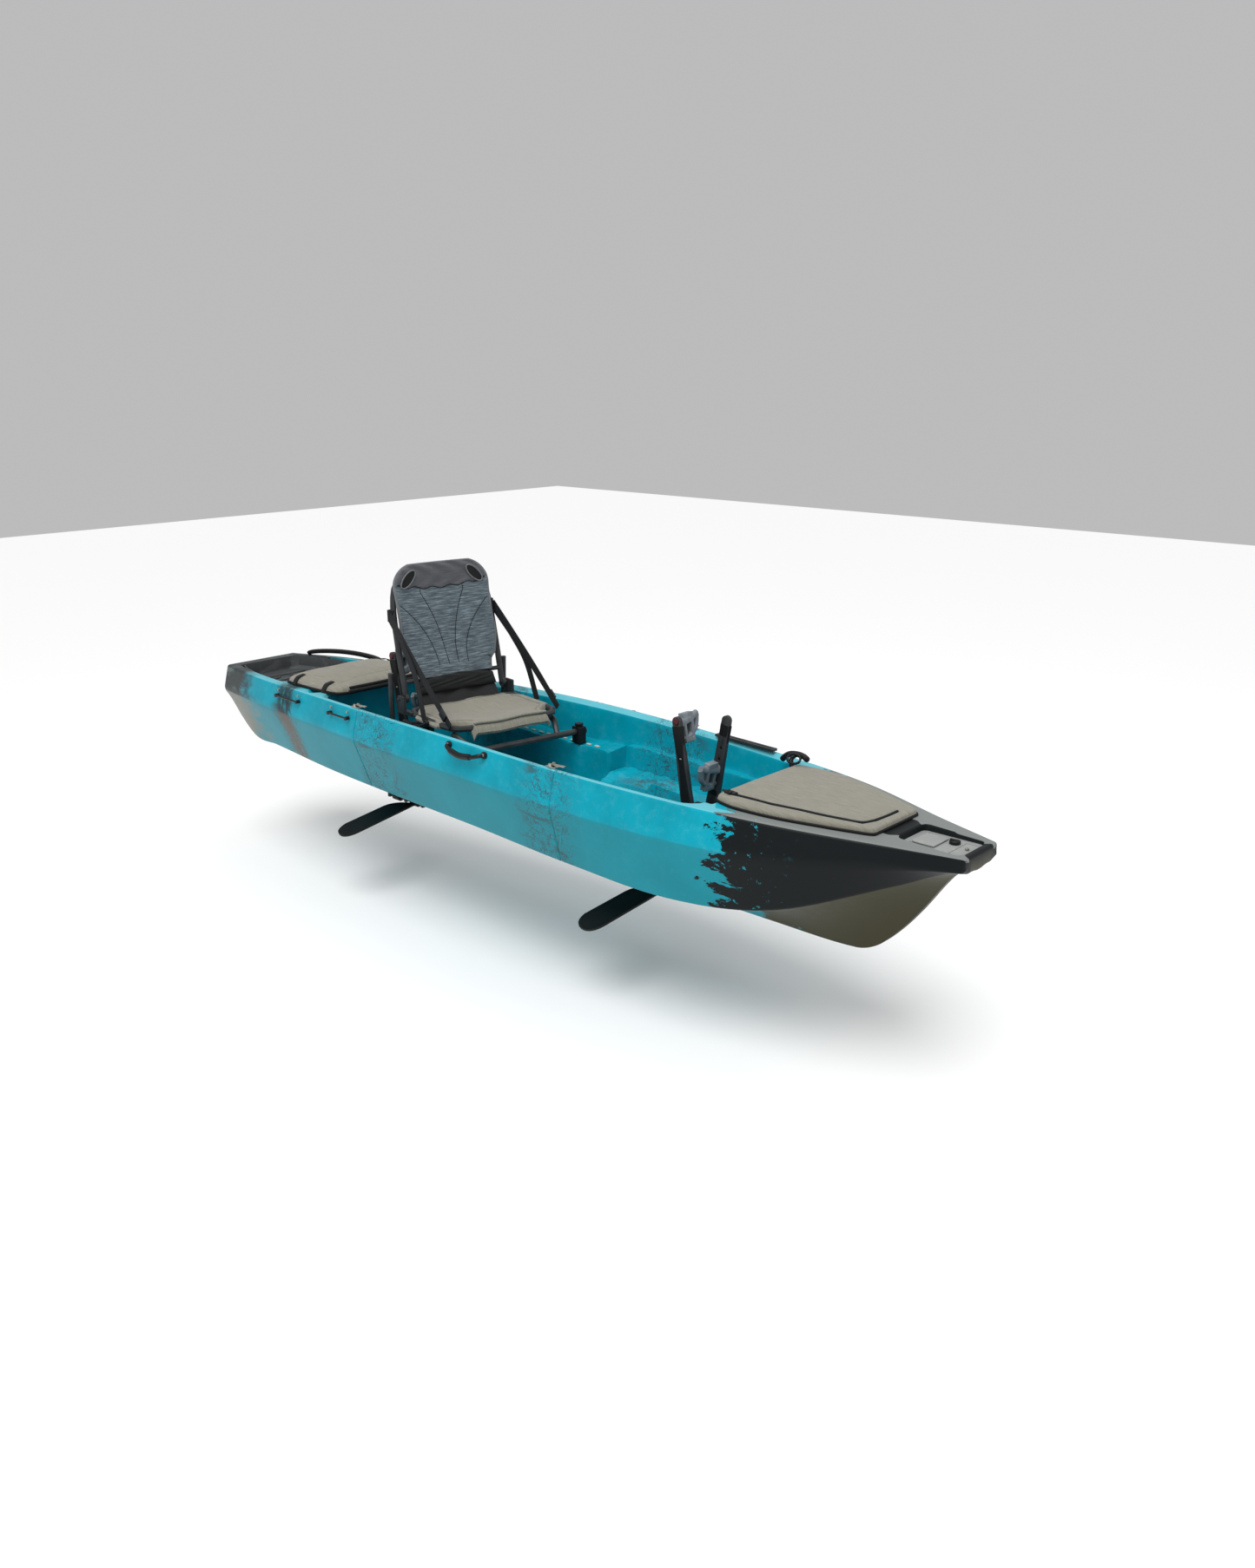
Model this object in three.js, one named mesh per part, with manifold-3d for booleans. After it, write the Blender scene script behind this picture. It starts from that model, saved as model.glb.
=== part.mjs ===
// A modular sit-on-top fishing kayak with two pedal-driven fin drives, a framed
// mesh seat, soft hatch covers, a bow tray and a stern tank well.
// Millimetres. +X towards the bow, +Y to port, +Z up. The origin is on the flat
// underside of the keel, half way along the boat.
import * as THREE from 'three';
import { mergeVertices } from 'three/addons/utils/BufferGeometryUtils.js';
import Module from 'manifold-3d';

const wasm = await Module();
wasm.setup();

// Driving dimensions
const hullWall = 5;
const gap = 0.4;
const sternSeamX = -640;
const bowSeamX = 490;
const ledgeZ = 330;
const footwellFloorZ = 175;
const cockpitAftX = -976;
const cockpitForeX = 1055;
const tankFloorZ = 372;
const seatTurn = -10;
const seatPivot = [-475, 20, 505];
const seatHalfWidth = 235;
const backHeight = 500;
const backRecline = 13;
const tubeRadius = 12.5;
const driveXs = { bow: 725, stern: -806 };
const finSplay = 76;
const armLean = 10;
const armLength = 345;
const armPivotZ = 292;
const finLength = 340;

// Boat lines: [x, half-breadth, height] at hand-set stations
const sheerLine = [[-1875, 175, 432], [-1475, 266, 448], [-975, 318, 458], [-475, 360, 465],
  [25, 381, 466], [525, 374, 455], [975, 335, 444], [1325, 274, 436], [1675, 160, 422], [1875, 98, 415]];
const knuckleLine = [[-1875, 205, 322], [-1475, 294, 343], [-975, 346, 347], [-475, 388, 347],
  [25, 408, 345], [525, 403, 334], [975, 365, 326], [1325, 303, 334], [1675, 182, 372], [1875, 108, 398]];
const chineLine = [[-1875, 168, 292], [-1790, 174, 205], [-1655, 182, 124], [-1475, 202, 128],
  [-975, 268, 130], [-475, 306, 131], [25, 328, 128], [525, 348, 118], [975, 332, 110],
  [1325, 264, 152], [1675, 130, 292], [1800, 84, 362], [1875, 64, 386]];
const keelLine = [[-1875, 30, 286], [-1790, 34, 186], [-1655, 40, 60], [-1520, 42, 0], [-1200, 42, 0],
  [0, 42, 0], [1200, 42, 0], [1490, 30, 0], [1560, 22, 24], [1630, 15, 90], [1700, 12, 178],
  [1790, 12, 320], [1840, 12, 376], [1875, 12, 384]];
const tunnelLine = [[-1875, 95, 290], [-1790, 105, 200], [-1655, 110, 112], [-1475, 120, 92],
  [0, 165, 88], [975, 160, 84], [1325, 125, 92], [1560, 85, 150], [1675, 66, 232],
  [1800, 45, 352], [1875, 38, 385]];
const stationXs = [-1875, -1830, -1790, -1720, -1655, -1585, -1520, -1400, -1200, -975, -700, -475, -200,
  25, 300, 525, 750, 975, 1150, 1325, 1420, 1490, 1560, 1630, 1700, 1790, 1840, 1875];

const kayak = new THREE.Group();

// ---- small tools -------------------------------------------------------------------------

function finish(color, roughness = 0.55, metalness = 0) {
  return new THREE.MeshStandardMaterial({ color, roughness, metalness });
}

const teal = finish(0x00a3b8, 0.45);
const blackPlastic = finish(0x1a1b1d, 0.5);
const blackMetal = finish(0x222326, 0.35, 0.6);
const greyPlastic = finish(0x4a4b50, 0.6);
const khakiFabric = finish(0x8f8b78, 0.9);
const blueFabric = finish(0x566570, 0.95);
const webbing = finish(0x202124, 0.9);
const maroon = finish(0x5a2026, 0.5);
const steel = finish(0xb9bcc0, 0.25, 1);

function add(name, geometry, material, parent = kayak) {
  const mesh = new THREE.Mesh(geometry, material);
  mesh.name = name;
  parent.add(mesh);
  return mesh;
}

function solid(geometry) {
  const bare = geometry.clone();
  bare.deleteAttribute('normal');
  bare.deleteAttribute('uv');
  const merged = mergeVertices(bare, 0.001);
  return new wasm.Manifold(new wasm.Mesh({
    numProp: 3,
    vertProperties: new Float32Array(merged.attributes.position.array),
    triVerts: new Uint32Array(merged.index.array),
  }));
}

function meshOf(manifold) {
  const mesh = manifold.getMesh();
  const geometry = new THREE.BufferGeometry();
  geometry.setAttribute('position', new THREE.BufferAttribute(new Float32Array(mesh.vertProperties), 3));
  geometry.setIndex(new THREE.BufferAttribute(new Uint32Array(mesh.triVerts), 1));
  geometry.computeVertexNormals();
  return geometry;
}

function join(...geometries) {
  return meshOf(geometries.map(solid).reduce((whole, piece) => whole.add(piece)));
}

function cut(geometry, ...tools) {
  return meshOf(tools.map(solid).reduce((whole, tool) => whole.subtract(tool), solid(geometry)));
}

function box(x0, x1, y0, y1, z0, z1) {
  return new THREE.BoxGeometry(x1 - x0, y1 - y0, z1 - z0)
    .translate((x0 + x1) / 2, (y0 + y1) / 2, (z0 + z1) / 2);
}

// A cylinder of the given length centred on a point, along the named axis
function rod(radius, length, axis, [x, y, z], sides = 16) {
  const geometry = new THREE.CylinderGeometry(radius, radius, length, sides);
  if (axis === 'x') geometry.rotateZ(-Math.PI / 2);
  if (axis === 'z') geometry.rotateX(Math.PI / 2);
  return geometry.translate(x, y, z);
}

function vec(point) {
  return new THREE.Vector3(...point);
}

// A round tube through points, with rounded bends
function tube(points, radius = tubeRadius, sides = 10, steps = 24) {
  const section = new THREE.Shape();
  section.absarc(0, 0, radius, 0, 2 * Math.PI);
  const path = new THREE.CatmullRomCurve3(points.map(vec), false, 'centripetal');
  return new THREE.ExtrudeGeometry(section, { steps, curveSegments: sides / 2, extrudePath: path });
}

function straightTube(from, to, radius = tubeRadius, sides = 10) {
  const section = new THREE.Shape();
  section.absarc(0, 0, radius, 0, 2 * Math.PI);
  const path = new THREE.LineCurve3(vec(from), vec(to));
  return new THREE.ExtrudeGeometry(section, { steps: 1, curveSegments: sides / 2, extrudePath: path });
}

// A flat plate from an outline in XY, from z0 up to z1
function plate(outline, z0, z1) {
  const corners = outline instanceof THREE.Shape ? [] : outline.map(([x, y]) => new THREE.Vector2(x, y));
  const shape = outline instanceof THREE.Shape ? outline : new THREE.Shape(corners);
  return new THREE.ExtrudeGeometry(shape, { depth: z1 - z0, bevelEnabled: false, curveSegments: 6 })
    .translate(0, 0, z0);
}

function roundedRectangle(x0, x1, y0, y1, r) {
  const shape = new THREE.Shape();
  shape.moveTo(x0 + r, y0);
  shape.lineTo(x1 - r, y0);
  shape.absarc(x1 - r, y0 + r, r, -Math.PI / 2, 0);
  shape.lineTo(x1, y1 - r);
  shape.absarc(x1 - r, y1 - r, r, 0, Math.PI / 2);
  shape.lineTo(x0 + r, y1);
  shape.absarc(x0 + r, y1 - r, r, Math.PI / 2, Math.PI);
  shape.lineTo(x0, y0 + r);
  shape.absarc(x0 + r, y0 + r, r, Math.PI, 1.5 * Math.PI);
  return shape;
}

// Smooth half-breadth and height of a boat line at x: a cubic through the stations
function along(line, x) {
  const last = line.length - 1;
  let i = 0;
  while (i < last - 1 && x > line[i + 1][0]) i += 1;
  const slope = (k, c) => {
    const a = line[Math.max(k - 1, 0)];
    const b = line[Math.min(k + 1, last)];
    return (b[c] - a[c]) / (b[0] - a[0]);
  };
  const span = line[i + 1][0] - line[i][0];
  const t = Math.min(Math.max((x - line[i][0]) / span, 0), 1);
  const at = (c) => (2 * t ** 3 - 3 * t ** 2 + 1) * line[i][c] + (t ** 3 - 2 * t ** 2 + t) * span * slope(i, c)
    + (3 * t ** 2 - 2 * t ** 3) * line[i + 1][c] + (t ** 3 - t ** 2) * span * slope(i + 1, c);
  return [at(1), at(2)];
}

// Triangles of one end cap, wound so that they face along +X, or along -X where back is true
function capTriangles(section, back) {
  const points = section.map(([y, z]) => new THREE.Vector2(y, z));
  return THREE.ShapeUtils.triangulateShape(points, []).map(([a, b, c]) => {
    const turn = (points[b].x - points[a].x) * (points[c].y - points[a].y)
      - (points[c].x - points[a].x) * (points[b].y - points[a].y);
    return (turn > 0) === back ? [a, c, b] : [a, b, c];
  });
}

// A loft over equal-length section loops, each an anticlockwise [y, z] list at its x, capped at both ends
function loft(xs, loops) {
  const sections = loops.map((loop) => {
    const clockwise = THREE.ShapeUtils.isClockWise(loop.map(([y, z]) => new THREE.Vector2(y, z)));
    return clockwise ? loop.slice().reverse() : loop;
  });
  const count = sections[0].length;
  const positions = sections.flatMap((section, i) => section.flatMap(([y, z]) => [xs[i], y, z]));
  const index = [];
  for (let i = 0; i < xs.length - 1; i += 1) {
    for (let j = 0; j < count; j += 1) {
      const a = i * count + j;
      const b = i * count + (j + 1) % count;
      index.push(a, b, a + count, b, b + count, a + count);
    }
  }
  const end = (xs.length - 1) * count;
  capTriangles(sections[0], true).forEach((corners) => index.push(...corners));
  const lastCap = capTriangles(sections[xs.length - 1], false);
  lastCap.forEach((corners) => index.push(...corners.map((k) => end + k)));
  const geometry = new THREE.BufferGeometry();
  geometry.setAttribute('position', new THREE.Float32BufferAttribute(positions, 3));
  geometry.setIndex(index);
  return geometry;
}

function mirrorSection(half) {
  return [...half, ...half.slice().reverse().map(([y, z]) => [-y, z])];
}

// Every vertex of a closed loop moved inwards by d along its own normal
function shrink(loop, d) {
  return loop.map(([y, z], i) => {
    const [py, pz] = loop[(i + loop.length - 1) % loop.length];
    const [ny, nz] = loop[(i + 1) % loop.length];
    const a = new THREE.Vector2(y - py, z - pz).normalize();
    const b = new THREE.Vector2(ny - y, nz - z).normalize();
    const normal = new THREE.Vector2(-(a.y + b.y), a.x + b.x).normalize();
    const stretch = Math.min(1 / Math.max(Math.sqrt((1 + a.dot(b)) / 2), 0.4), 1.6);
    return [y + normal.x * d * stretch, z + normal.y * d * stretch];
  });
}

// ---- hull --------------------------------------------------------------------------------

// One hull section: keel flat, hollow-flared bottom, chine, knuckle, rounded gunwale, deck
function hullSection(x) {
  const [keelY, keelZ] = along(keelLine, x);
  const [tunnelY, tunnelZ] = along(tunnelLine, x);
  const [chineY, chineZ] = along(chineLine, x);
  const [knuckleY, knuckleZ] = along(knuckleLine, x);
  const [sheerY, sheerZ] = along(sheerLine, x);
  return mirrorSection([
    [keelY, keelZ],
    [keelY + 0.3 * (tunnelY - keelY), keelZ + 0.5 * (tunnelZ - keelZ)],
    [tunnelY, tunnelZ],
    [0.4 * tunnelY + 0.6 * chineY, 0.5 * tunnelZ + 0.5 * chineZ - 3],
    [chineY - 7, chineZ - 3],
    [chineY + 1, chineZ + 5],
    [knuckleY - 1, knuckleZ - 5],
    [knuckleY - 1, knuckleZ + 3],
    [sheerY + 1, sheerZ - 9],
    [sheerY - 8, sheerZ],
  ]);
}

// A well from x0 to x1 whose half-width follows the sheer; its ends are rounded in plan
function well(x0, x1, inset, z0, z1, grow = 0, maxHalfWidth = 1000) {
  const length = x1 - x0;
  const xs = [0, 0.012, 0.05, 0.16, 0.33, 0.5, 0.67, 0.84, 0.95, 0.988, 1];
  const pull = [70, 34, 8, 0, 0, 0, 0, 0, 8, 34, 70];
  const places = xs.map((t, i) => {
    if (i === 0) return x0 - grow;
    return i === xs.length - 1 ? x1 + grow : x0 + t * length;
  });
  const sections = xs.map((t, i) => {
    const rim = along(sheerLine, x0 + t * length)[0] - inset;
    const w = Math.min(rim, maxHalfWidth) - pull[i] + grow;
    const low = z0 - grow;
    return [[-w + 14, low], [w - 14, low], [w, low + 14], [w + 6, z1], [-w - 6, z1], [-w, low + 14]];
  });
  return loft(places, sections);
}

const topZ = 560;
const cockpitUpper = (grow) => well(cockpitAftX, cockpitForeX, 44, ledgeZ, topZ, grow);
const cockpitLower = (grow) => (
  well(cockpitAftX + 2, cockpitForeX - 60, 60, footwellFloorZ, ledgeZ + 30, grow, 218)
);
const tankWell = (grow) => well(-1790, -1290, 46, tankFloorZ, topZ, grow);
const trayWell = (grow) => box(1640 - grow, 1848 + grow, -78 - grow, 78 + grow, 398 - grow, topZ);
const driveWell = (x, grow) => box(x - 155 - grow, x + 155 + grow, -33 - grow, 33 + grow, -20, ledgeZ);

function frontHatchHole() {
  return plate([[1110, -170], [1500, -100], [1500, 100], [1110, 170]], 400, topZ);
}

function rearHatchHole() {
  return plate(roundedRectangle(-1240, -1010, -170, 170, 40), 400, topZ);
}

function floorHatchHole() {
  return plate(roundedRectangle(150, 390, -95, 95, 30), 60, ledgeZ);
}

function hullModule(x0, x1, voidX0, voidX1, openings) {
  const outer = loft(stationXs, stationXs.map(hullSection));
  const inner = loft(stationXs, stationXs.map((x) => shrink(hullSection(x), hullWall)));
  const slab = (a, b) => solid(box(a, b, -500, 500, -50, 600));
  const wells = [cockpitUpper, cockpitLower, tankWell, trayWell,
    (grow) => driveWell(driveXs.bow, grow), (grow) => driveWell(driveXs.stern, grow)];
  let shell = solid(outer).intersect(slab(x0, x1));
  let hollow = solid(inner).intersect(slab(voidX0, voidX1));
  wells.forEach((wellOf) => {
    shell = shell.subtract(solid(wellOf(0)));
    hollow = hollow.subtract(solid(wellOf(hullWall)));
  });
  shell = shell.subtract(hollow);
  openings.forEach((opening) => {
    shell = shell.subtract(solid(opening));
  });
  return shell;
}

function latchSeat(seamX, side) {
  const [y] = along(sheerLine, seamX);
  const z = Math.max(along(sheerLine, seamX - 55)[1], along(sheerLine, seamX + 35)[1]);
  return [seamX, side * (y - 22), z];
}

// A hook lug moulded into the forward module, which the latch pulls on
function keeperLug(seamX, side) {
  const [x, y, z] = latchSeat(seamX, side);
  return box(x + 14, x + 26, y - 9, y + 9, z - 8, z + 9);
}

function addHull() {
  const half = gap / 2;
  const stern = hullModule(-1900, sternSeamX - half, -1862, sternSeamX - hullWall, [rearHatchHole()]);
  const mid = hullModule(sternSeamX + half, bowSeamX - half, sternSeamX + hullWall, bowSeamX - hullWall,
    [floorHatchHole()]);
  const bow = hullModule(bowSeamX + half, 1900, bowSeamX + hullWall, 1770, [frontHatchHole()]);
  const withLugs = (hull, seamX) => hull.add(solid(keeperLug(seamX, 1))).add(solid(keeperLug(seamX, -1)));
  add('stern_hull', meshOf(stern), teal);
  add('mid_hull', meshOf(withLugs(mid, sternSeamX)), teal);
  add('bow_hull', meshOf(withLugs(bow, bowSeamX)), teal);
}

// ---- seam latches ------------------------------------------------------------------------

// A base plate with a hinge pin on the aft module, and a lever bridging to the hook lug
function addLatch(seamName, seamX, sideName, side) {
  const [x, y, z] = latchSeat(seamX, side);
  const pinX = x - 30;
  const pinZ = z + 9;
  const base = join(
    box(x - 52, x - 6, y - 11, y + 11, z + gap, z + 4),
    box(pinX - 6, pinX + 6, y - 11, y - 7, z + 2, pinZ + 6),
    box(pinX - 6, pinX + 6, y + 7, y + 11, z + 2, pinZ + 6),
    rod(2.5, 20, 'y', [pinX, y, pinZ], 12),
  );
  add(`latch_base_${seamName}_${sideName}`, base, steel);
  const arm = join(
    rod(4.5, 12, 'y', [pinX, y, pinZ], 14),
    box(pinX, x + 12, y - 6, y + 6, pinZ + 1, pinZ + 4.5),
    box(x + 10, x + 32, y - 6, y + 6, pinZ + 1.8, pinZ + 5.5),
  );
  add(`latch_lever_${seamName}_${sideName}`, cut(arm, rod(2.8, 20, 'y', [pinX, y, pinZ], 12)), steel);
}

// ---- hatches, tank well and bow tray -------------------------------------------------------

// A soft cover: a low crowned slab over an outline of [x, half-width] stations
function softCover(stations, z0, rise) {
  const xs = stations.map(([x]) => x);
  const sections = stations.map(([x, w], i) => {
    const deck = along(sheerLine, x)[1] + z0;
    const lift = i === 0 || i === stations.length - 1 ? 0.45 * rise : rise;
    return [[w, deck], [w, deck + 0.35 * lift], [0.8 * w, deck + 0.85 * lift], [0, deck + lift],
      [-0.8 * w, deck + 0.85 * lift], [-w, deck + 0.35 * lift], [-w, deck]];
  });
  return loft(xs, sections);
}

function addHatches() {
  add('front_hatch_cover', softCover([[1062, 205], [1085, 226], [1160, 246], [1300, 232], [1450, 185],
    [1560, 142], [1590, 120]], gap, 30), khakiFabric);
  add('rear_hatch_cover', softCover([[-1284, 232], [-1262, 246], [-1150, 252], [-990, 256], [-925, 250],
    [-885, 200]], gap, 46), khakiFabric);
  add('floor_hatch', plate(roundedRectangle(135, 405, -110, 110, 36), footwellFloorZ + gap,
    footwellFloorZ + 9), greyPlastic);
}

// A drawn cord across the front cover, ending in a cord lock
function addFrontCord() {
  const onCover = (x, y, lift) => [x, y, along(sheerLine, x)[1] + lift];
  const route = [onCover(1100, -178, 36), onCover(1250, -166, 38), onCover(1400, -142, 38), onCover(1520, -100, 38),
    onCover(1545, -60, 40), onCover(1548, 60, 40)];
  add('front_cover_cord', tube(route, 3.4, 6, 24), webbing);
  const lock = rod(11, 34, 'x', onCover(1078, -180, 42), 12);
  add('cord_lock', lock, blackPlastic);
}

function addTankLiner() {
  const outside = cut(tankWell(-gap), box(-1900, -1200, -400, 400, 438, 700));
  const inside = tankWell(-5);
  const ribAt = (x) => box(x - 8, x + 8, -120, 120, tankFloorZ + 4, tankFloorZ + 12);
  const ribs = [-1690, -1600, -1510, -1420].map(ribAt);
  add('tank_liner', join(cut(outside, inside), ...ribs), greyPlastic);
}

const trayZ = 398;

function addBowTray() {
  const floor = box(1640 + gap, 1848 - gap, -78 + gap, 78 - gap, trayZ + gap, trayZ + 6);
  const recess = box(1795, 1840, -60, 60, trayZ + 3, trayZ + 30);
  const ears = [-52, 52].map((y) => box(1668, 1676, y - 3, y + 3, trayZ + 5, trayZ + 14));
  const pin = rod(2, 108, 'y', [1672, 0, trayZ + 10], 10);
  add('bow_tray', cut(join(floor, ...ears, pin), recess), greyPlastic);
  const hinge = rod(4, 90, 'y', [1672, 0, trayZ + 10], 12);
  const lid = join(box(1674, 1744, -46, 46, trayZ + 8.5, trayZ + 12), hinge);
  add('tray_lid', cut(lid, rod(2.3, 120, 'y', [1672, 0, trayZ + 10], 10)), blackPlastic);
  const grip = box(1756, 1788, 27, 33, trayZ + 15, trayZ + 20);
  const knob = join(rod(17, 9, 'z', [1772, 30, trayZ + 11], 20), grip);
  add('tray_knob', knob, blackPlastic);
}

// ---- deck fittings -------------------------------------------------------------------------

function addGearTrack(name, side) {
  const xs = [620, 900];
  const [y0, z0] = along(sheerLine, xs[0]);
  const [y1, z1] = along(sheerLine, xs[1]);
  const length = Math.hypot(xs[1] - xs[0], y1 - y0);
  const slot = box(-length / 2 + 10, length / 2 - 10, -4, 4, 4, 20);
  const bar = cut(box(-length / 2, length / 2, -13, 13, 0, 9), slot);
  const track = add(name, bar, blackMetal);
  track.position.set((xs[0] + xs[1]) / 2, side * ((y0 + y1) / 2 - 24), Math.max(z0, z1) + gap);
  track.rotation.z = side * Math.atan2(y1 - y0, xs[1] - xs[0]);
}

// A point standing off the topsides by out, at a drop below the gunwale
function onTopside(x, out, drop, side) {
  const [sheerY, sheerZ] = along(sheerLine, x);
  const [knuckleY, knuckleZ] = along(knuckleLine, x);
  const t = drop / (sheerZ - knuckleZ);
  return [x, side * (sheerY + t * (knuckleY - sheerY) + out), sheerZ - drop];
}

// A grab handle: two end bosses on the topsides and a bowed grip between them
function addCarryHandle(name, side) {
  const at = (x, out) => onTopside(x, out, 22, side);
  const grip = tube([at(-40, 14), at(-22, 24), at(60, 34), at(142, 24), at(160, 14)], 8, 10, 16);
  const bosses = [-40, 160].map((x) => rod(12, 16, 'y', at(x, 14), 14));
  add(name, join(grip, ...bosses), blackPlastic);
}

// An elastic paddle keeper: a short rod held off the side by two bolt heads
function addPaddleKeeper(name, x0, x1, side) {
  const cord = straightTube(onTopside(x0, 18, 38, side), onTopside(x1, 18, 38, side), 4.5, 8);
  const bolts = [x0 + 4, x1 - 4].map((x) => rod(8, 18, 'y', onTopside(x, 14, 38, side), 10));
  add(name, join(cord, ...bolts), blackPlastic);
}

function addBowHook() {
  const z = along(sheerLine, 1010)[1];
  const route = [[985, 262, z + 10], [1000, 262, z + 34], [1050, 240, z + 44], [1120, 200, z + 52]];
  const arch = tube(route, 9, 10, 20);
  const foot = box(965, 1003, 250, 276, z + 1.5, z + 14);
  add('bow_hook', join(arch, foot), blackPlastic);
}

// ---- seat ------------------------------------------------------------------------------------

const seat = new THREE.Group();
seat.position.set(...seatPivot);
seat.rotation.z = THREE.MathUtils.degToRad(seatTurn);
kayak.add(seat);

const legZ = 378 - seatPivot[2];
const baseZ = -46;

function addSeatFrame() {
  const w = seatHalfWidth;
  const loopHalf = (side) => tube([[28, 0, baseZ], [30, side * (w - 60), baseZ], [46, side * (w - 14), baseZ],
    [84, side * w, baseZ], [320, side * w, baseZ], [375, side * (w - 14), baseZ], [398, side * (w - 60), baseZ],
    [402, 0, baseZ]], tubeRadius, 8, 22);
  const pins = [-1, 1].map((side) => rod(6, 34, 'y', [0, side * (w + 9), 0], 12));
  const lugs = [-1, 1].map((side) => box(-12, 40, side * (w + 15) - 5, side * (w + 15) + 5, baseZ - 10, 12));
  const webs = [-1, 1].map((side) => box(26, 90, Math.min(side * w, side * (w + 18)), Math.max(side * w, side * (w + 18)),
    baseZ - 8, baseZ + 8));
  const leverPin = rod(5, 44, 'y', [230, -(w + 20), baseZ], 12);
  add('seat_frame', join(loopHalf(1), loopHalf(-1), ...pins, ...lugs, ...webs, leverPin), blackMetal, seat);
}

function addLegs() {
  const w = seatHalfWidth;
  const bar = straightTube([440, -262, legZ], [440, 328, legZ], 13, 10);
  const legs = [-1, 1].map((side) => tube([[352, side * (w - 16), baseZ - 26],
    [384, side * (w - 18), baseZ - 34], [420, side * (w - 34), baseZ - 58], [438, side * (w - 40), legZ]],
  12, 8, 10));
  add('front_leg_frame', join(bar, ...legs), blackMetal, seat);
  const rearBar = straightTube([-52, -272, legZ], [-52, 272, legZ], 12, 10);
  const posts = [-1, 1].map((side) => tube([[-52, side * 262, legZ], [-52, side * 262, legZ + 90],
    [-46, side * 262, 96]], 11, 8, 5));
  add('rear_leg_frame', join(rearBar, ...posts), blackMetal, seat);
}

function backPoint(up, forward = 0) {
  const lean = THREE.MathUtils.degToRad(backRecline);
  return [-Math.sin(lean) * up + Math.cos(lean) * forward, Math.cos(lean) * up + Math.sin(lean) * forward];
}

function onBack(side, up, forward = 0) {
  const [x, z] = backPoint(up, forward);
  return [x, side, z];
}

function addSeatBack() {
  const w = seatHalfWidth - 12;
  const top = backHeight;
  const hoop = (side) => tube([onBack(side * w, 0), onBack(side * w, 200), onBack(side * (w - 8), top - 130),
    onBack(side * (w - 30), top - 60), onBack(side * (w - 90), top - 8), onBack(0, top)], tubeRadius, 8, 20);
  const eyes = [-1, 1].map((side) => rod(19, 14, 'y', onBack(side * (w + 3), 0), 18));
  const bores = [-1, 1].map((side) => rod(6.3, 40, 'y', onBack(side * (w + 9), 0), 12));
  const lowerBar = straightTube(onBack(-w, 62), onBack(w, 62), 9, 8);
  add('back_frame', cut(join(hoop(1), hoop(-1), ...eyes, lowerBar), ...bores), blackMetal, seat);

  const panel = new THREE.Shape();
  panel.moveTo(-w + 20, 66);
  panel.lineTo(w - 20, 66);
  panel.lineTo(w - 6, 200);
  panel.lineTo(w - 12, top - 120);
  panel.quadraticCurveTo(w - 20, top - 20, w - 100, top - 4);
  panel.lineTo(-w + 100, top - 4);
  panel.quadraticCurveTo(-w + 20, top - 20, -w + 12, top - 120);
  panel.lineTo(-w + 6, 200);
  const cover = new THREE.ExtrudeGeometry(panel, { depth: 16, bevelEnabled: false, curveSegments: 8 });
  standOnBack(add('back_cover', cover, blueFabric, seat), tubeRadius + 1);
  const lumbarShape = roundedRectangle(-w + 40, w - 40, 4, 62, 20);
  const lumbar = new THREE.ExtrudeGeometry(lumbarShape, { depth: 18, bevelEnabled: false, curveSegments: 5 });
  standOnBack(add('lumbar_pad', lumbar, webbing, seat), tubeRadius + 1);
}

// Stands an outline drawn in (side, up) on the reclined back, its thickness facing forward
function standOnBack(mesh, forward) {
  const lean = THREE.MathUtils.degToRad(backRecline);
  const basis = new THREE.Matrix4().makeBasis(
    new THREE.Vector3(0, 1, 0),
    new THREE.Vector3(-Math.sin(lean), 0, Math.cos(lean)),
    new THREE.Vector3(Math.cos(lean), 0, Math.sin(lean)),
  );
  mesh.quaternion.setFromRotationMatrix(basis);
  const [x, z] = backPoint(0, forward);
  mesh.position.set(x, 0, z);
}

function addSeatCover() {
  const outline = [[64, -200], [120, -226], [300, -226], [350, -200], [404, -196], [404, 196], [350, 200],
    [300, 226], [120, 226], [64, 200]];
  add('seat_cover', plate(outline, baseZ + tubeRadius + 1, baseZ + tubeRadius + 13), khakiFabric, seat);
}

// A flat side strap from the back hoop down to the front corner of the seat
function addStraps() {
  [['starboard', -1], ['port', 1]].forEach(([sideName, side]) => {
    const y = side * (seatHalfWidth + 26);
    const [ux, uz] = backPoint(300);
    const outline = new THREE.Shape([[ux - 20, uz - 4], [ux + 8, uz + 34], [384, -8], [352, -34]]
      .map(([x, z]) => new THREE.Vector2(x, z)));
    const strap = new THREE.ExtrudeGeometry(outline, { depth: 3, bevelEnabled: false });
    strap.rotateX(Math.PI / 2);
    strap.translate(0, y + 1.5, 0);
    add(`side_strap_${sideName}`, strap, webbing, seat);
  });
}

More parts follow.
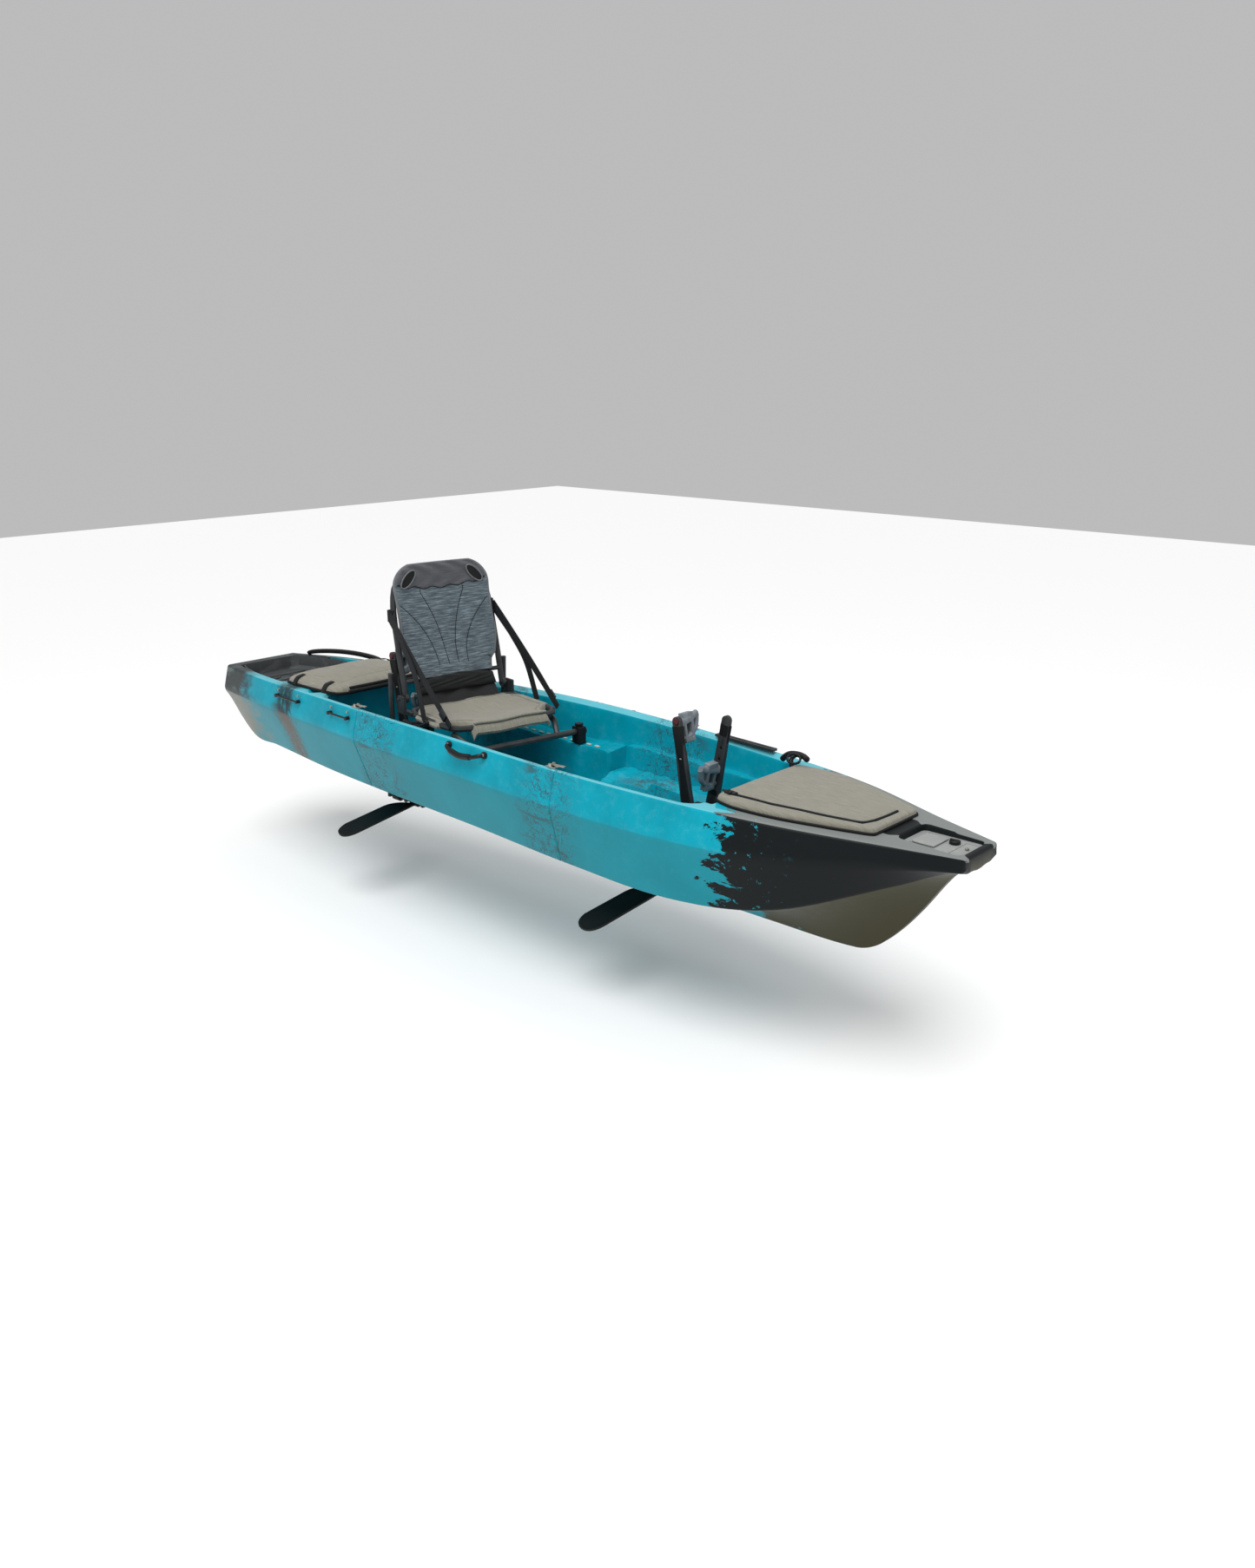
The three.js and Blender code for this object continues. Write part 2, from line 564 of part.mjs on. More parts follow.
function addSeatSmallParts() {
  const ledge = ledgeZ - seatPivot[2] + gap;
  [['starboard', -236], ['port', 298]].forEach(([sideName, y]) => {
    const bore = rod(13.3, 80, 'y', [440, y, legZ], 10);
    const block = cut(box(418, 462, y - 18, y + 18, ledge, legZ + 20), bore);
    add(`clamp_block_${sideName}`, block, blackPlastic, seat);
    const lobes = [0, 1, 2, 3, 4].map((k) => k * 0.4 * Math.PI).map((turn) => rod(6, 12, 'z',
      [440 + 11 * Math.cos(turn), y + 11 * Math.sin(turn), legZ + 27], 10));
    const knob = join(rod(14, 12, 'z', [440, y, legZ + 27], 16), ...lobes);
    add(`clamp_knob_${sideName}`, knob, blackPlastic, seat);
  });
  [['starboard', -250], ['port', 244]].forEach(([sideName, y]) => {
    const foot = cut(box(-78, -26, y - 18, y + 18, ledge, legZ - 1), rod(12.4, 80, 'y', [-52, y, legZ], 10));
    add(`seat_foot_${sideName}`, foot, teal, seat);
  });
  const y = -(seatHalfWidth + 31);
  const lever = join(rod(11, 14, 'y', [230, y, baseZ], 14),
    tube([[230, y, baseZ], [190, y, baseZ - 20], [110, y, baseZ - 30]], 6, 8, 8),
    rod(10, 70, 'x', [92, y, baseZ - 30], 12));
  const bored = cut(lever, rod(5.3, 60, 'y', [230, y, baseZ], 12));
  add('recline_lever', bored, blackPlastic, seat);
}

// ---- fin drives --------------------------------------------------------------------------------

const finPivotZ = -34;
const finHubXs = { fore: 60, aft: -60 };
const armOffsetX = 100;
const armYs = { starboard: -62, port: 62 };

// The body drops through the keel slot, with a flange on the floor, two cheeks and the arm axle
function addDriveHousing(prefix, drive) {
  const body = box(-152, 152, -31, 31, -10, footwellFloorZ + 2);
  const flange = box(-162, 162, -56, 56, footwellFloorZ + gap, footwellFloorZ + 14);
  const tower = box(armOffsetX - 34, armOffsetX + 34, -24, 24, footwellFloorZ + 10, armPivotZ + 24);
  const axle = rod(9, 150, 'y', [armOffsetX, 0, armPivotZ], 16);
  const shaft = rod(6, 240, 'x', [0, 0, finPivotZ], 12);
  const hangers = [-112, 0, 112].map((x) => box(x - 7, x + 7, -10, 10, finPivotZ - 9, -6));
  add(`${prefix}_drive_housing`, join(body, flange, tower, axle, shaft, ...hangers), blackPlastic, drive);
  const cam = join(box(-118, -50, -9, 9, footwellFloorZ + 22, footwellFloorZ + 29),
    rod(8, 26, 'y', [-118, 0, footwellFloorZ + 24], 14));
  add(`${prefix}_lock_cam`, cam, maroon, drive);
}

// A drive arm, upright in its own group, with adjustment holes and a pedal near its top
function addPedalArm(prefix, drive, sideName, lean) {
  const side = Math.sign(armYs[sideName]);
  const arm = new THREE.Group();
  arm.position.set(armOffsetX, 0, armPivotZ);
  arm.rotation.y = THREE.MathUtils.degToRad(lean);
  drive.add(arm);
  const y = armYs[sideName];
  const outline = new THREE.Shape();
  outline.absarc(0, 0, 25, Math.PI, 2 * Math.PI);
  outline.lineTo(17, armLength - 20);
  outline.absarc(0, armLength - 17, 17, 0, Math.PI);
  const hole = new THREE.Path();
  hole.absarc(0, 0, 9.3, 0, 2 * Math.PI);
  outline.holes.push(hole);
  [0.3, 0.42, 0.54, 0.66].forEach((t) => {
    const adjust = new THREE.Path();
    adjust.absarc(0, t * armLength, 6, 0, 2 * Math.PI);
    outline.holes.push(adjust);
  });
  const bar = new THREE.ExtrudeGeometry(outline, { depth: 14, bevelEnabled: false, curveSegments: 8 });
  bar.rotateX(Math.PI / 2);
  bar.translate(0, y + 7, 0);
  const pedalZ = sideName === 'starboard' ? armLength - 20 : armLength - 190;
  const axle = rod(6, 40, 'y', [0, y - side * 20, pedalZ], 12);
  add(`${prefix}_arm_${sideName}`, join(bar, axle), blackMetal, arm);
  addPedal(prefix, arm, sideName, y - side * 24, pedalZ);
}

// A pedal is an open frame with a tread bar, hung on the arm's stub axle
function addPedal(prefix, arm, sideName, y, z) {
  const side = Math.sign(armYs[sideName]);
  const inner = -side * 22;
  const ys = [y + inner - 8, y + inner + 8];
  const frame = cut(box(-12, 12, Math.min(...ys) - 16, Math.max(...ys) + 16, z - 74, z + 26),
    box(-30, 30, Math.min(...ys) - 6, Math.max(...ys) + 6, z - 60, z - 8));
  add(`${prefix}_pedal_${sideName}`, cut(frame, rod(6.3, 60, 'y', [0, y, z], 12)), greyPlastic, arm);
}

// A flapping fin: a hub on the shaft and a swept blade with a rounded tip
function addFin(prefix, drive, place, splay) {
  const fin = new THREE.Group();
  fin.position.set(finHubXs[place], 0, finPivotZ);
  fin.rotation.x = THREE.MathUtils.degToRad(splay);
  drive.add(fin);
  const blade = new THREE.Shape();
  blade.moveTo(12, -14);
  blade.lineTo(-38, -finLength + 52);
  blade.quadraticCurveTo(-50, -finLength, -88, -finLength);
  blade.quadraticCurveTo(-144, -finLength + 4, -148, -finLength + 70);
  blade.lineTo(-110, -90);
  blade.quadraticCurveTo(-98, -40, -14, -14);
  const plateOf = new THREE.ExtrudeGeometry(blade, { depth: 8, bevelEnabled: false, curveSegments: 6 });
  plateOf.rotateX(Math.PI / 2);
  plateOf.translate(0, 4, 0);
  const hub = rod(15, 44, 'x', [0, 0, 0], 16);
  const body = cut(join(hub, plateOf), rod(6.4, 80, 'x', [0, 0, 0], 12));
  add(`${prefix}_fin_${place}`, body, blackPlastic, fin);
}

function addDrive(prefix, foreSplay) {
  const drive = new THREE.Group();
  drive.position.x = driveXs[prefix];
  kayak.add(drive);
  addDriveHousing(prefix, drive);
  addPedalArm(prefix, drive, 'starboard', -armLean);
  addPedalArm(prefix, drive, 'port', armLean);
  addFin(prefix, drive, 'fore', foreSplay);
  addFin(prefix, drive, 'aft', -foreSplay);
}

addHull();
[['aft', sternSeamX], ['fore', bowSeamX]].forEach(([seamName, seamX]) => {
  addLatch(seamName, seamX, 'starboard', -1);
  addLatch(seamName, seamX, 'port', 1);
});
addHatches();
addFrontCord();
addTankLiner();
addBowTray();
addGearTrack('gear_track_port', 1);
addCarryHandle('carry_handle_starboard', -1);
addCarryHandle('carry_handle_port', 1);
addPaddleKeeper('paddle_keeper_stern_starboard', -1250, -1070, -1);
addPaddleKeeper('paddle_keeper_mid_starboard', -820, -680, -1);
addBowHook();
addSeatFrame();
addLegs();
addSeatBack();
addSeatCover();
addStraps();
addSeatSmallParts();
addDrive('bow', finSplay);
addDrive('stern', -finSplay);

export default kayak;
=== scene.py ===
import math
import bpy
import numpy as np
from mathutils import Matrix, Vector


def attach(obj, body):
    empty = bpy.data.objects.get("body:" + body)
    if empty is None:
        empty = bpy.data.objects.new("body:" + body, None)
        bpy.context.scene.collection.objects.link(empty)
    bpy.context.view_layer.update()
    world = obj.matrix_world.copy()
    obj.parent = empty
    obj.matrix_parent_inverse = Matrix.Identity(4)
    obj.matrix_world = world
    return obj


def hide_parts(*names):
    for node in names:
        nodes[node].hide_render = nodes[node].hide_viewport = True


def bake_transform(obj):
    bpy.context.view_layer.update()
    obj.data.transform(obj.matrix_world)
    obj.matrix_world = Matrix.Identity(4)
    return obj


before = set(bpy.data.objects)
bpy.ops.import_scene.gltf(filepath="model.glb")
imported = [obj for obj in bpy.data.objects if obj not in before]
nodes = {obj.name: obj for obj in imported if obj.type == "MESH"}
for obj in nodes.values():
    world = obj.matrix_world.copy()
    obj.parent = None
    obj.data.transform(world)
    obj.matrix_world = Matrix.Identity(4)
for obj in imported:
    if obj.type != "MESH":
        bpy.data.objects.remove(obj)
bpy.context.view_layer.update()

print("frame loaded:", len(nodes), "nodes")


# numbers and curves

def clampSmooth(t):  # 0 below 0, 1 above 1, and the cubic 3t2 - 2t3 between
    t = np.clip(t, 0.0, 1.0)
    return t * t * (3.0 - 2.0 * t)


def through(knots, values, x):  # cubic Hermite curve through the values, slopes from the neighbours
    knots = np.asarray(knots, float)
    values = np.asarray(values, float)
    low = np.r_[0, np.arange(len(knots) - 1)]
    high = np.r_[np.arange(1, len(knots)), len(knots) - 1]
    spans = (knots[high] - knots[low]).reshape((-1,) + (1,) * (values.ndim - 1))
    slopes = (values[high] - values[low]) / spans
    x = np.clip(x, knots[0], knots[-1])
    i = np.clip(np.searchsorted(knots, x, side="right") - 1, 0, len(knots) - 2)
    span = knots[i + 1] - knots[i]
    shape = span.shape + (1,) * (values.ndim - 1)
    t = ((x - knots[i]) / span).reshape(shape)
    span = span.reshape(shape)
    return ((2 * t**3 - 3 * t**2 + 1) * values[i] + (t**3 - 2 * t**2 + t) * span * slopes[i]
            + (3 * t**2 - 2 * t**3) * values[i + 1] + (t**3 - t**2) * span * slopes[i + 1])


def smoothPath(points, count):  # evenly spaced points on a curve through the given ones
    points = np.asarray(points, float)
    steps = np.linalg.norm(np.diff(points, axis=0), axis=1)
    along = np.r_[0, np.cumsum(steps)]
    dense = through(along, points, np.linspace(0, along[-1], 12 * count))
    length = np.r_[0, np.cumsum(np.linalg.norm(np.diff(dense, axis=0), axis=1))]
    even = np.linspace(0, length[-1], count)
    return np.stack([np.interp(even, length, dense[:, k]) for k in range(3)], axis=1)


def unit(v):
    return v / np.maximum(np.linalg.norm(v, axis=-1, keepdims=True), 1e-12)


# meshes

def quadGrid(rows, columns, closeRows=False, closeColumns=False):
    r = np.arange(rows if closeRows else rows - 1)
    c = np.arange(columns if closeColumns else columns - 1)
    r, c = np.meshgrid(r, c, indexing="ij")
    nextR, nextC = (r + 1) % rows, (c + 1) % columns
    corners = [r * columns + c, nextR * columns + c, nextR * columns + nextC, r * columns + nextC]
    return np.stack([k.ravel() for k in corners], axis=1).tolist()


def putMesh(name, verts, faces, material, body, sharp=40, replaced=(), slot=None):
    mesh = bpy.data.meshes.new(name)
    mesh.from_pydata(np.asarray(verts, float).reshape(-1, 3).tolist(), [], faces)
    mesh.validate()
    mesh.polygons.foreach_set("use_smooth", np.ones(len(mesh.polygons), bool))
    piece = bpy.data.objects.new(name, mesh)
    bpy.context.scene.collection.objects.link(piece)
    if sharp:
        mesh.set_sharp_from_angle(angle=math.radians(sharp))
    mesh.materials.append(material)
    if body:
        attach(piece, body)
    for nodeName in replaced:
        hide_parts(nodeName)
    return piece


def sweepArrays(path, section, up=(0, 0, 1), scale=None, twist=None):
    # a section [side, up] carried along a path; its up leans as near as it can to the given one
    path = np.asarray(path, float)
    section = np.asarray(section, float)
    tangent = unit(np.gradient(path, axis=0))
    up = np.broadcast_to(np.asarray(up, float), path.shape)
    side = unit(np.cross(up, tangent))
    lift = unit(np.cross(tangent, side))
    size = np.ones(len(path)) if scale is None else np.asarray(scale, float)
    size = size if size.ndim == 2 else np.stack([size, size], axis=1)
    a = section[None, :, 0, None] * size[:, None, 0:1]
    b = section[None, :, 1, None] * size[:, None, 1:2]
    verts = path[:, None, :] + a * side[:, None, :] + b * lift[:, None, :]
    n, m = len(path), len(section)
    faces = quadGrid(n, m, closeColumns=True)
    faces += [list(range(m)), [(n - 1) * m + k for k in reversed(range(m))]]
    return verts.reshape(-1, 3), faces


def circle(radius, sides=16):
    a = np.linspace(0, 2 * np.pi, sides, endpoint=False)
    return np.stack([np.cos(a), np.sin(a)], axis=1) * radius


def roundedSection(width, height, radius, steps=4):
    # a rectangle with rounded corners, as [side, up] points
    a = np.linspace(0, np.pi / 2, steps + 1)
    corners = []
    for k, (sx, sy) in enumerate(((1, 1), (-1, 1), (-1, -1), (1, -1))):
        t = a + k * np.pi / 2
        centre = np.array([sx * (width / 2 - radius), sy * (height / 2 - radius)])
        corners.append(centre + radius * np.stack([np.cos(t), np.sin(t)], axis=1))
    return np.concatenate(corners)


def joined(parts):  # several (verts, faces) as one
    verts, faces, count = [], [], 0
    for v, f in parts:
        v = np.asarray(v, float).reshape(-1, 3)
        verts.append(v)
        faces += [[k + count for k in face] for face in f]
        count += len(v)
    return np.concatenate(verts), faces


def putParts(name, parts, material, body, **more):  # several (verts, faces) as one piece
    verts, faces = joined(parts)
    return putMesh(name, verts, faces, material, body, **more)


def tubeArrays(points, radius, sides=16, steps=48, up=(0, 0, 1)):
    # a round tube through points, its ends narrowed over 0.4 of its radius
    path = smoothPath(points, steps)
    length = np.r_[0, np.cumsum(np.linalg.norm(np.diff(path, axis=0), axis=1))]
    fromEnd = np.minimum(length, length[-1] - length)
    taper = 1 - (1 - np.clip(fromEnd / (0.4 * radius), 0, 1)) ** 2
    return sweepArrays(path, circle(radius, sides), up, np.sqrt(np.clip(taper, 0.3, 1)))


def discArrays(centre, axis, radius, height, sides=24, bevel=0.15):
    # a turned button: a bevelled disc standing from its centre along the axis
    axis = unit(np.asarray(axis, float))
    other = np.array([0, 0, 1.0]) if abs(axis[2]) < 0.9 else np.array([1.0, 0, 0])
    side = unit(np.cross(other, axis))
    lift = np.cross(axis, side)
    b = bevel * radius
    rings = [(0, radius), (height - b, radius), (height - 0.3 * b, radius - 0.3 * b), (height, radius - b)]
    ring = circle(1.0, sides)
    verts = [np.asarray(centre) + axis * h + r * (ring[:, :1] * side + ring[:, 1:] * lift) for h, r in rings]
    faces = [face[::-1] for face in quadGrid(len(rings), sides, closeColumns=True)]
    faces += [list(reversed(range(sides))), [(len(rings) - 1) * sides + k for k in range(sides)]]
    return np.concatenate(verts), faces


# shader tools

def linear(hexColour):  # sRGB hex to the linear colour Blender wants
    s = np.array([int(hexColour[k:k + 2], 16) for k in (1, 3, 5)]) / 255
    lin = np.where(s <= 0.04045, s / 12.92, ((s + 0.055) / 1.055) ** 2.4)
    return (*[float(v) for v in lin], 1.0)


def addNode(tree, kind, settings=None, values=None, links=None):
    made = tree.nodes.new(kind)
    for key, value in (settings or {}).items():
        setattr(made, key, value)
    for key, value in (values or {}).items():
        made.inputs[key].default_value = value
    for key, socket in (links or {}).items():
        tree.links.new(socket, made.inputs[key])
    return made


def startMaterial(name):
    material = bpy.data.materials.new(name)
    material.use_nodes = True
    tree = material.node_tree
    return material, tree, tree.nodes["Principled BSDF"]


def mixColour(tree, factor, a, b, blend="MIX"):
    made = addNode(tree, "ShaderNodeMix", {"data_type": "RGBA", "blend_type": blend})
    for key, value in ((0, factor), (6, a), (7, b)):
        if isinstance(value, bpy.types.NodeSocket):
            tree.links.new(value, made.inputs[key])
        else:
            made.inputs[key].default_value = linear(value) if isinstance(value, str) else value
    return made.outputs[2]


def maths(tree, operation, a, b=None, c=None, clamp=False):
    made = addNode(tree, "ShaderNodeMath", {"operation": operation, "use_clamp": clamp})
    for key, value in enumerate((a, b, c)):
        if isinstance(value, bpy.types.NodeSocket):
            tree.links.new(value, made.inputs[key])
        elif value is not None:
            made.inputs[key].default_value = value
    return made.outputs[0]


def times(tree, a, b):
    return maths(tree, "MULTIPLY", a, b)


def oneLess(tree, value):  # 1 minus the value
    return maths(tree, "SUBTRACT", 1.0, value)


def centred(tree, value, reach):  # a noise of 0 to 1, moved to be about 0 and scaled
    return times(tree, maths(tree, "SUBTRACT", value, 0.5), reach)


def apart(tree, value, centre):  # distance from a centre
    return maths(tree, "ABSOLUTE", maths(tree, "SUBTRACT", value, centre))


def fadeOut(tree, value, low, high):  # 1 at low, 0 at high, smooth
    return oneLess(tree, smoothBetween(tree, value, low, high))


def smoothBetween(tree, value, low, high):  # 0 at low, 1 at high, smooth
    made = addNode(tree, "ShaderNodeMapRange", {"interpolation_type": "SMOOTHSTEP"},
                   {"From Min": low, "From Max": high}, {"Value": value})
    return made.outputs["Result"]


def noise(tree, place, scale, detail=4, rough=0.55, distortion=0.0):
    made = addNode(tree, "ShaderNodeTexNoise", None,
                   {"Scale": scale, "Detail": detail, "Roughness": rough, "Distortion": distortion},
                   {"Vector": place})
    return made.outputs["Fac"]


def stretched(tree, place, scale):
    return addNode(tree, "ShaderNodeMapping", None, {"Scale": scale}, {"Vector": place}).outputs[0]


def bumpFrom(tree, shader, height, distance, strength=1.0):
    made = addNode(tree, "ShaderNodeBump", None, {"Distance": distance, "Strength": strength},
                   {"Height": height})
    tree.links.new(made.outputs[0], shader.inputs["Normal"])


def roughFrom(tree, shader, value, low, high):
    made = addNode(tree, "ShaderNodeMapRange", None, {"To Min": low, "To Max": high}, {"Value": value})
    tree.links.new(made.outputs[0], shader.inputs["Roughness"])


def setLevels(shader, **levels):  # plain shader inputs, written as roughness=0.8 or sheenWeight=0.2
    names = {"roughness": "Roughness", "sheenWeight": "Sheen Weight", "sheenRoughness": "Sheen Roughness",
             "metallic": "Metallic", "specular": "Specular IOR Level", "ior": "IOR"}
    for key, value in levels.items():
        shader.inputs[names[key]].default_value = value


def marked(tree, attribute):
    return addNode(tree, "ShaderNodeAttribute", {"attribute_name": attribute}).outputs["Fac"]


def boatPlace(tree):
    return addNode(tree, "ShaderNodeTexCoord").outputs["Object"]


def clothPlace(tree):
    return addNode(tree, "ShaderNodeUVMap", {"uv_map": "cloth"}).outputs[0]


# materials

hullFinish = {
    # the pale teal serves both the random pale mottle and the painted sheen on the gunwale tops
    "teal": "#0097ac", "tealDeep": "#00889b", "tealPale": "#74bec8", "lowTint": "#1c7a84",
    # the rim grey is a painted sheen on the bow's flat deck top
    "bowBlack": "#0f1416", "bowOlive": "#3b3927", "rimSheenGrey": "#7d8280",
    "sternGrey": "#2b3335", "sternLow": "#777a72", "sternWorn": "#6d7f7d",
    "wisp": "#16393c", "wispBrown": "#4f4440", "smudgeTop": "#262423", "smudgeLow": "#5d4f45",
    "mottle": 0.14, "lowTinted": 0.62, "rimSheenAmount": 0.62,
    "wispPatches": ((-0.50, 0.20), (0.45, 0.19), (-1.22, 0.12)),  # centre along the boat, half length
    "wispWidth": (0.003, 0.018), "fineWidth": (0.0, 0.03), "wispStrength": 0.9,
    "smudgeAt": -1.20, "smudgeWidth": (0.030, 0.085), "smudgeStrength": 0.88,
    "sternEdge": -1.56, "sternFade": 0.10, "sternTear": 0.5,
    "bowEdge": 1.145, "bowFade": 0.006, "bowTear": 0.55, "bowBristle": 0.10, "islands": (1.24, 1.42),
    "rimFrom": (1.05, 1.22), "rimHeight": (0.398, 0.406), "rough": (0.30, 0.46), "peelScale": 260.0}


def makeHullMaterial():
    # roto-moulded polyethylene: pigments thrown in the mould give torn edges and wispy marbling,
    # with a fine orange-peel skin and a soft satin gloss
    material, tree, shader = startMaterial("rotoMouldedPolyethylene")
    f = hullFinish
    place = boatPlace(tree)
    split = addNode(tree, "ShaderNodeSeparateXYZ", links={0: place})
    x, z = split.outputs[0], split.outputs[2]
    low, belly, deck = marked(tree, "lowBand"), marked(tree, "belly"), marked(tree, "rim")
    rim = smoothBetween(tree, deck, 0.55, 0.95)
    cloud = noise(tree, place, 5.0, 3)
    mottled = noise(tree, place, 34.0, 6, 0.7)
    torn = noise(tree, stretched(tree, place, (5.0, 13.0, 13.0)), 1.0, 6, 0.62, 0.8)
    ragged = noise(tree, stretched(tree, place, (30.0, 90.0, 90.0)), 1.0, 5, 0.75)
    teal = mixColour(tree, smoothBetween(tree, cloud, 0.35, 0.7), f["teal"], f["tealDeep"])
    pale = times(tree, smoothBetween(tree, mottled, 0.45, 0.8), f["mottle"])
    teal = mixColour(tree, pale, teal, f["tealPale"])
    teal = mixColour(tree, times(tree, low, f["lowTinted"]), teal, f["lowTint"])
    # painted sheen: the gunwale tops, marked rim, are lightened toward pale teal, standing in for the sky's
    # reflection
    teal = mixColour(tree, times(tree, rim, f["rimSheenAmount"]), teal, f["tealPale"])
    # wisps: thin lines where a distorted noise crosses its middle, kept to patches by the seams
    web = noise(tree, place, 9.0, 7, 0.6, 2.2)
    webFine = noise(tree, place, 31.0, 6, 0.6, 2.2)
    line = fadeOut(tree, apart(tree, web, 0.5), *f["wispWidth"])
    lineFine = fadeOut(tree, apart(tree, webFine, 0.5), *f["fineWidth"])
    smear = smoothBetween(tree, torn, 0.53, 0.66)
    marks = maths(tree, "MAXIMUM", maths(tree, "MAXIMUM", line, times(tree, lineFine, 0.8)),
                  times(tree, smear, 0.75))
    patch = None
    for centre, reach in f["wispPatches"]:
        away = maths(tree, "ADD", apart(tree, x, centre), centred(tree, cloud, 0.25))
        near = fadeOut(tree, away, 0.35 * reach, reach)
        patch = near if patch is None else maths(tree, "MAXIMUM", patch, near)
    wispColour = mixColour(tree, cloud, f["wisp"], f["wispBrown"])
    wisps = times(tree, times(tree, marks, patch), f["wispStrength"])
    marbled = mixColour(tree, wisps, teal, wispColour)
    # a dark smear aft of the seat: ragged upright strokes on the topsides
    stroke = noise(tree, stretched(tree, place, (26.0, 7.0, 7.0)), 1.0, 8, 0.72, 1.2)
    strokePlace = maths(tree, "ADD", apart(tree, x, f["smudgeAt"]), centred(tree, stroke, 0.16))
    smudge = times(tree, fadeOut(tree, strokePlace, *f["smudgeWidth"]),
                   smoothBetween(tree, stroke, 0.36, 0.50))
    marbled = mixColour(tree, times(tree, smudge, f["smudgeStrength"]), marbled,
                        mixColour(tree, low, f["smudgeTop"], f["smudgeLow"]))
    # stern: dark grey, thinning to teal with a ragged front, paler below the knuckle
    sternPlace = maths(tree, "ADD", x, centred(tree, torn, f["sternTear"]))
    stern = fadeOut(tree, sternPlace, f["sternEdge"] - f["sternFade"], f["sternEdge"] + f["sternFade"])
    sternColour = mixColour(tree, low, f["sternGrey"], f["sternLow"])
    sternColour = mixColour(tree, times(tree, smear, 0.5), sternColour, f["sternWorn"])
    body = mixColour(tree, stern, marbled, sternColour)
    # bow: black with a torn, brushed edge and a few islands of teal, and a painted sheen of pale grey on its
    # flat deck top
    tear = maths(tree, "ADD", centred(tree, torn, f["bowTear"]), centred(tree, ragged, f["bowBristle"]))
    bowPlace = maths(tree, "ADD", x, tear)
    bow = smoothBetween(tree, bowPlace, f["bowEdge"] - f["bowFade"], f["bowEdge"] + f["bowFade"])
    island = times(tree, smoothBetween(tree, mottled, 0.60, 0.66), fadeOut(tree, x, *f["islands"]))
    bow = maths(tree, "MULTIPLY", bow, oneLess(tree, island), clamp=True)
    bowColour = mixColour(tree, belly, f["bowBlack"], f["bowOlive"])
    # painted sheen: the flat deck top at the bow is mixed toward a pale grey, standing in for the sky's
    # reflection on the black plastic
    flatDeck = times(tree, smoothBetween(tree, deck, 0.35, 0.48), smoothBetween(tree, z, *f["rimHeight"]))
    bowSheenPatch = times(tree, flatDeck, smoothBetween(tree, x, *f["rimFrom"]))
    bowColour = mixColour(tree, times(tree, bowSheenPatch, 0.9), bowColour, f["rimSheenGrey"])
    body = mixColour(tree, bow, body, bowColour)
    tree.links.new(body, shader.inputs["Base Color"])
    roughFrom(tree, shader, mottled, *f["rough"])
    setLevels(shader, ior=1.51, specular=0.14)
    bumpFrom(tree, shader, noise(tree, place, f["peelScale"], 2), 0.0006, 0.35)
    return material


def makePlastic(name, hexColour, hexWorn, rough, peelScale=420.0):
    # moulded plastic: a spark-eroded grain about 2 mm across as drawn, and paler rubbed patches
    material, tree, shader = startMaterial(name)
    place = boatPlace(tree)
    rub = noise(tree, place, 22.0, 5, 0.65)
    colour = mixColour(tree, times(tree, smoothBetween(tree, rub, 0.5, 0.78), 0.6), hexColour, hexWorn)
    tree.links.new(colour, shader.inputs["Base Color"])
    roughFrom(tree, shader, rub, rough - 0.08, rough + 0.1)
    setLevels(shader, specular=0.3)
    bumpFrom(tree, shader, noise(tree, place, peelScale, 2), 0.0004, 0.4)
    return material


def makeMetal(name, hexColour, rough, metallic, scratch):
    # metal tube or pressing: drawn lines along the part show as faint streaks in the gloss
    material, tree, shader = startMaterial(name)
    place = boatPlace(tree)
    lines = noise(tree, stretched(tree, place, (60.0, 900.0, 900.0)), 1.0, 3)
    dull = noise(tree, place, 18.0, 4)
    colour = mixColour(tree, times(tree, dull, scratch), hexColour, "#8f9396")
    tree.links.new(colour, shader.inputs["Base Color"])
    roughFrom(tree, shader, lines, rough - 0.07, rough + 0.12)
    setLevels(shader, metallic=metallic, specular=0.3 + 0.2 * metallic)
    bumpFrom(tree, shader, lines, 0.0002, 0.3)
    return material


def threads(tree, place, spacing, way, settings, values):
    # parallel threads: a wave texture of scale 1 has 20 / 2pi bands per unit
    return addNode(tree, "ShaderNodeTexWave", {"bands_direction": way, **settings},
                   {"Scale": 6.2832 / (20.0 * spacing), **values}, {"Vector": place}).outputs["Fac"]


def makeFabric(name, hexYarn, hexGap, hexHeather, thread, heather=0.5, sheen=0.25):
    # woven polyester mesh: two crossed sets of threads, each thread a few millimetres as drawn,
    # with darker gaps between them and slub yarns that run across in short dashes
    material, tree, shader = startMaterial(name)
    place = clothPlace(tree)
    waves = [threads(tree, place, thread, way, {"wave_type": "BANDS", "wave_profile": "SIN"},
                     {"Distortion": 0.4, "Detail": 1.0, "Detail Scale": 3.0}) for way in ("X", "Y")]
    weave = times(tree, *waves)
    slub = noise(tree, stretched(tree, place, (16.0, 210.0, 1.0)), 1.0, 5, 0.7)
    blotch = noise(tree, place, 9.0, 3)
    colour = mixColour(tree, weave, hexGap, hexYarn)
    dashes = times(tree, smoothBetween(tree, slub, 0.42, 0.66), heather)
    colour = mixColour(tree, dashes, colour, hexHeather)
    colour = mixColour(tree, times(tree, blotch, 0.18), colour, hexGap)
    tree.links.new(colour, shader.inputs["Base Color"])
    setLevels(shader, roughness=0.88, sheenWeight=sheen, sheenRoughness=0.5)
    bumpFrom(tree, shader, maths(tree, "ADD", weave, times(tree, slub, 0.6)), 0.0012, 0.5)
    return material


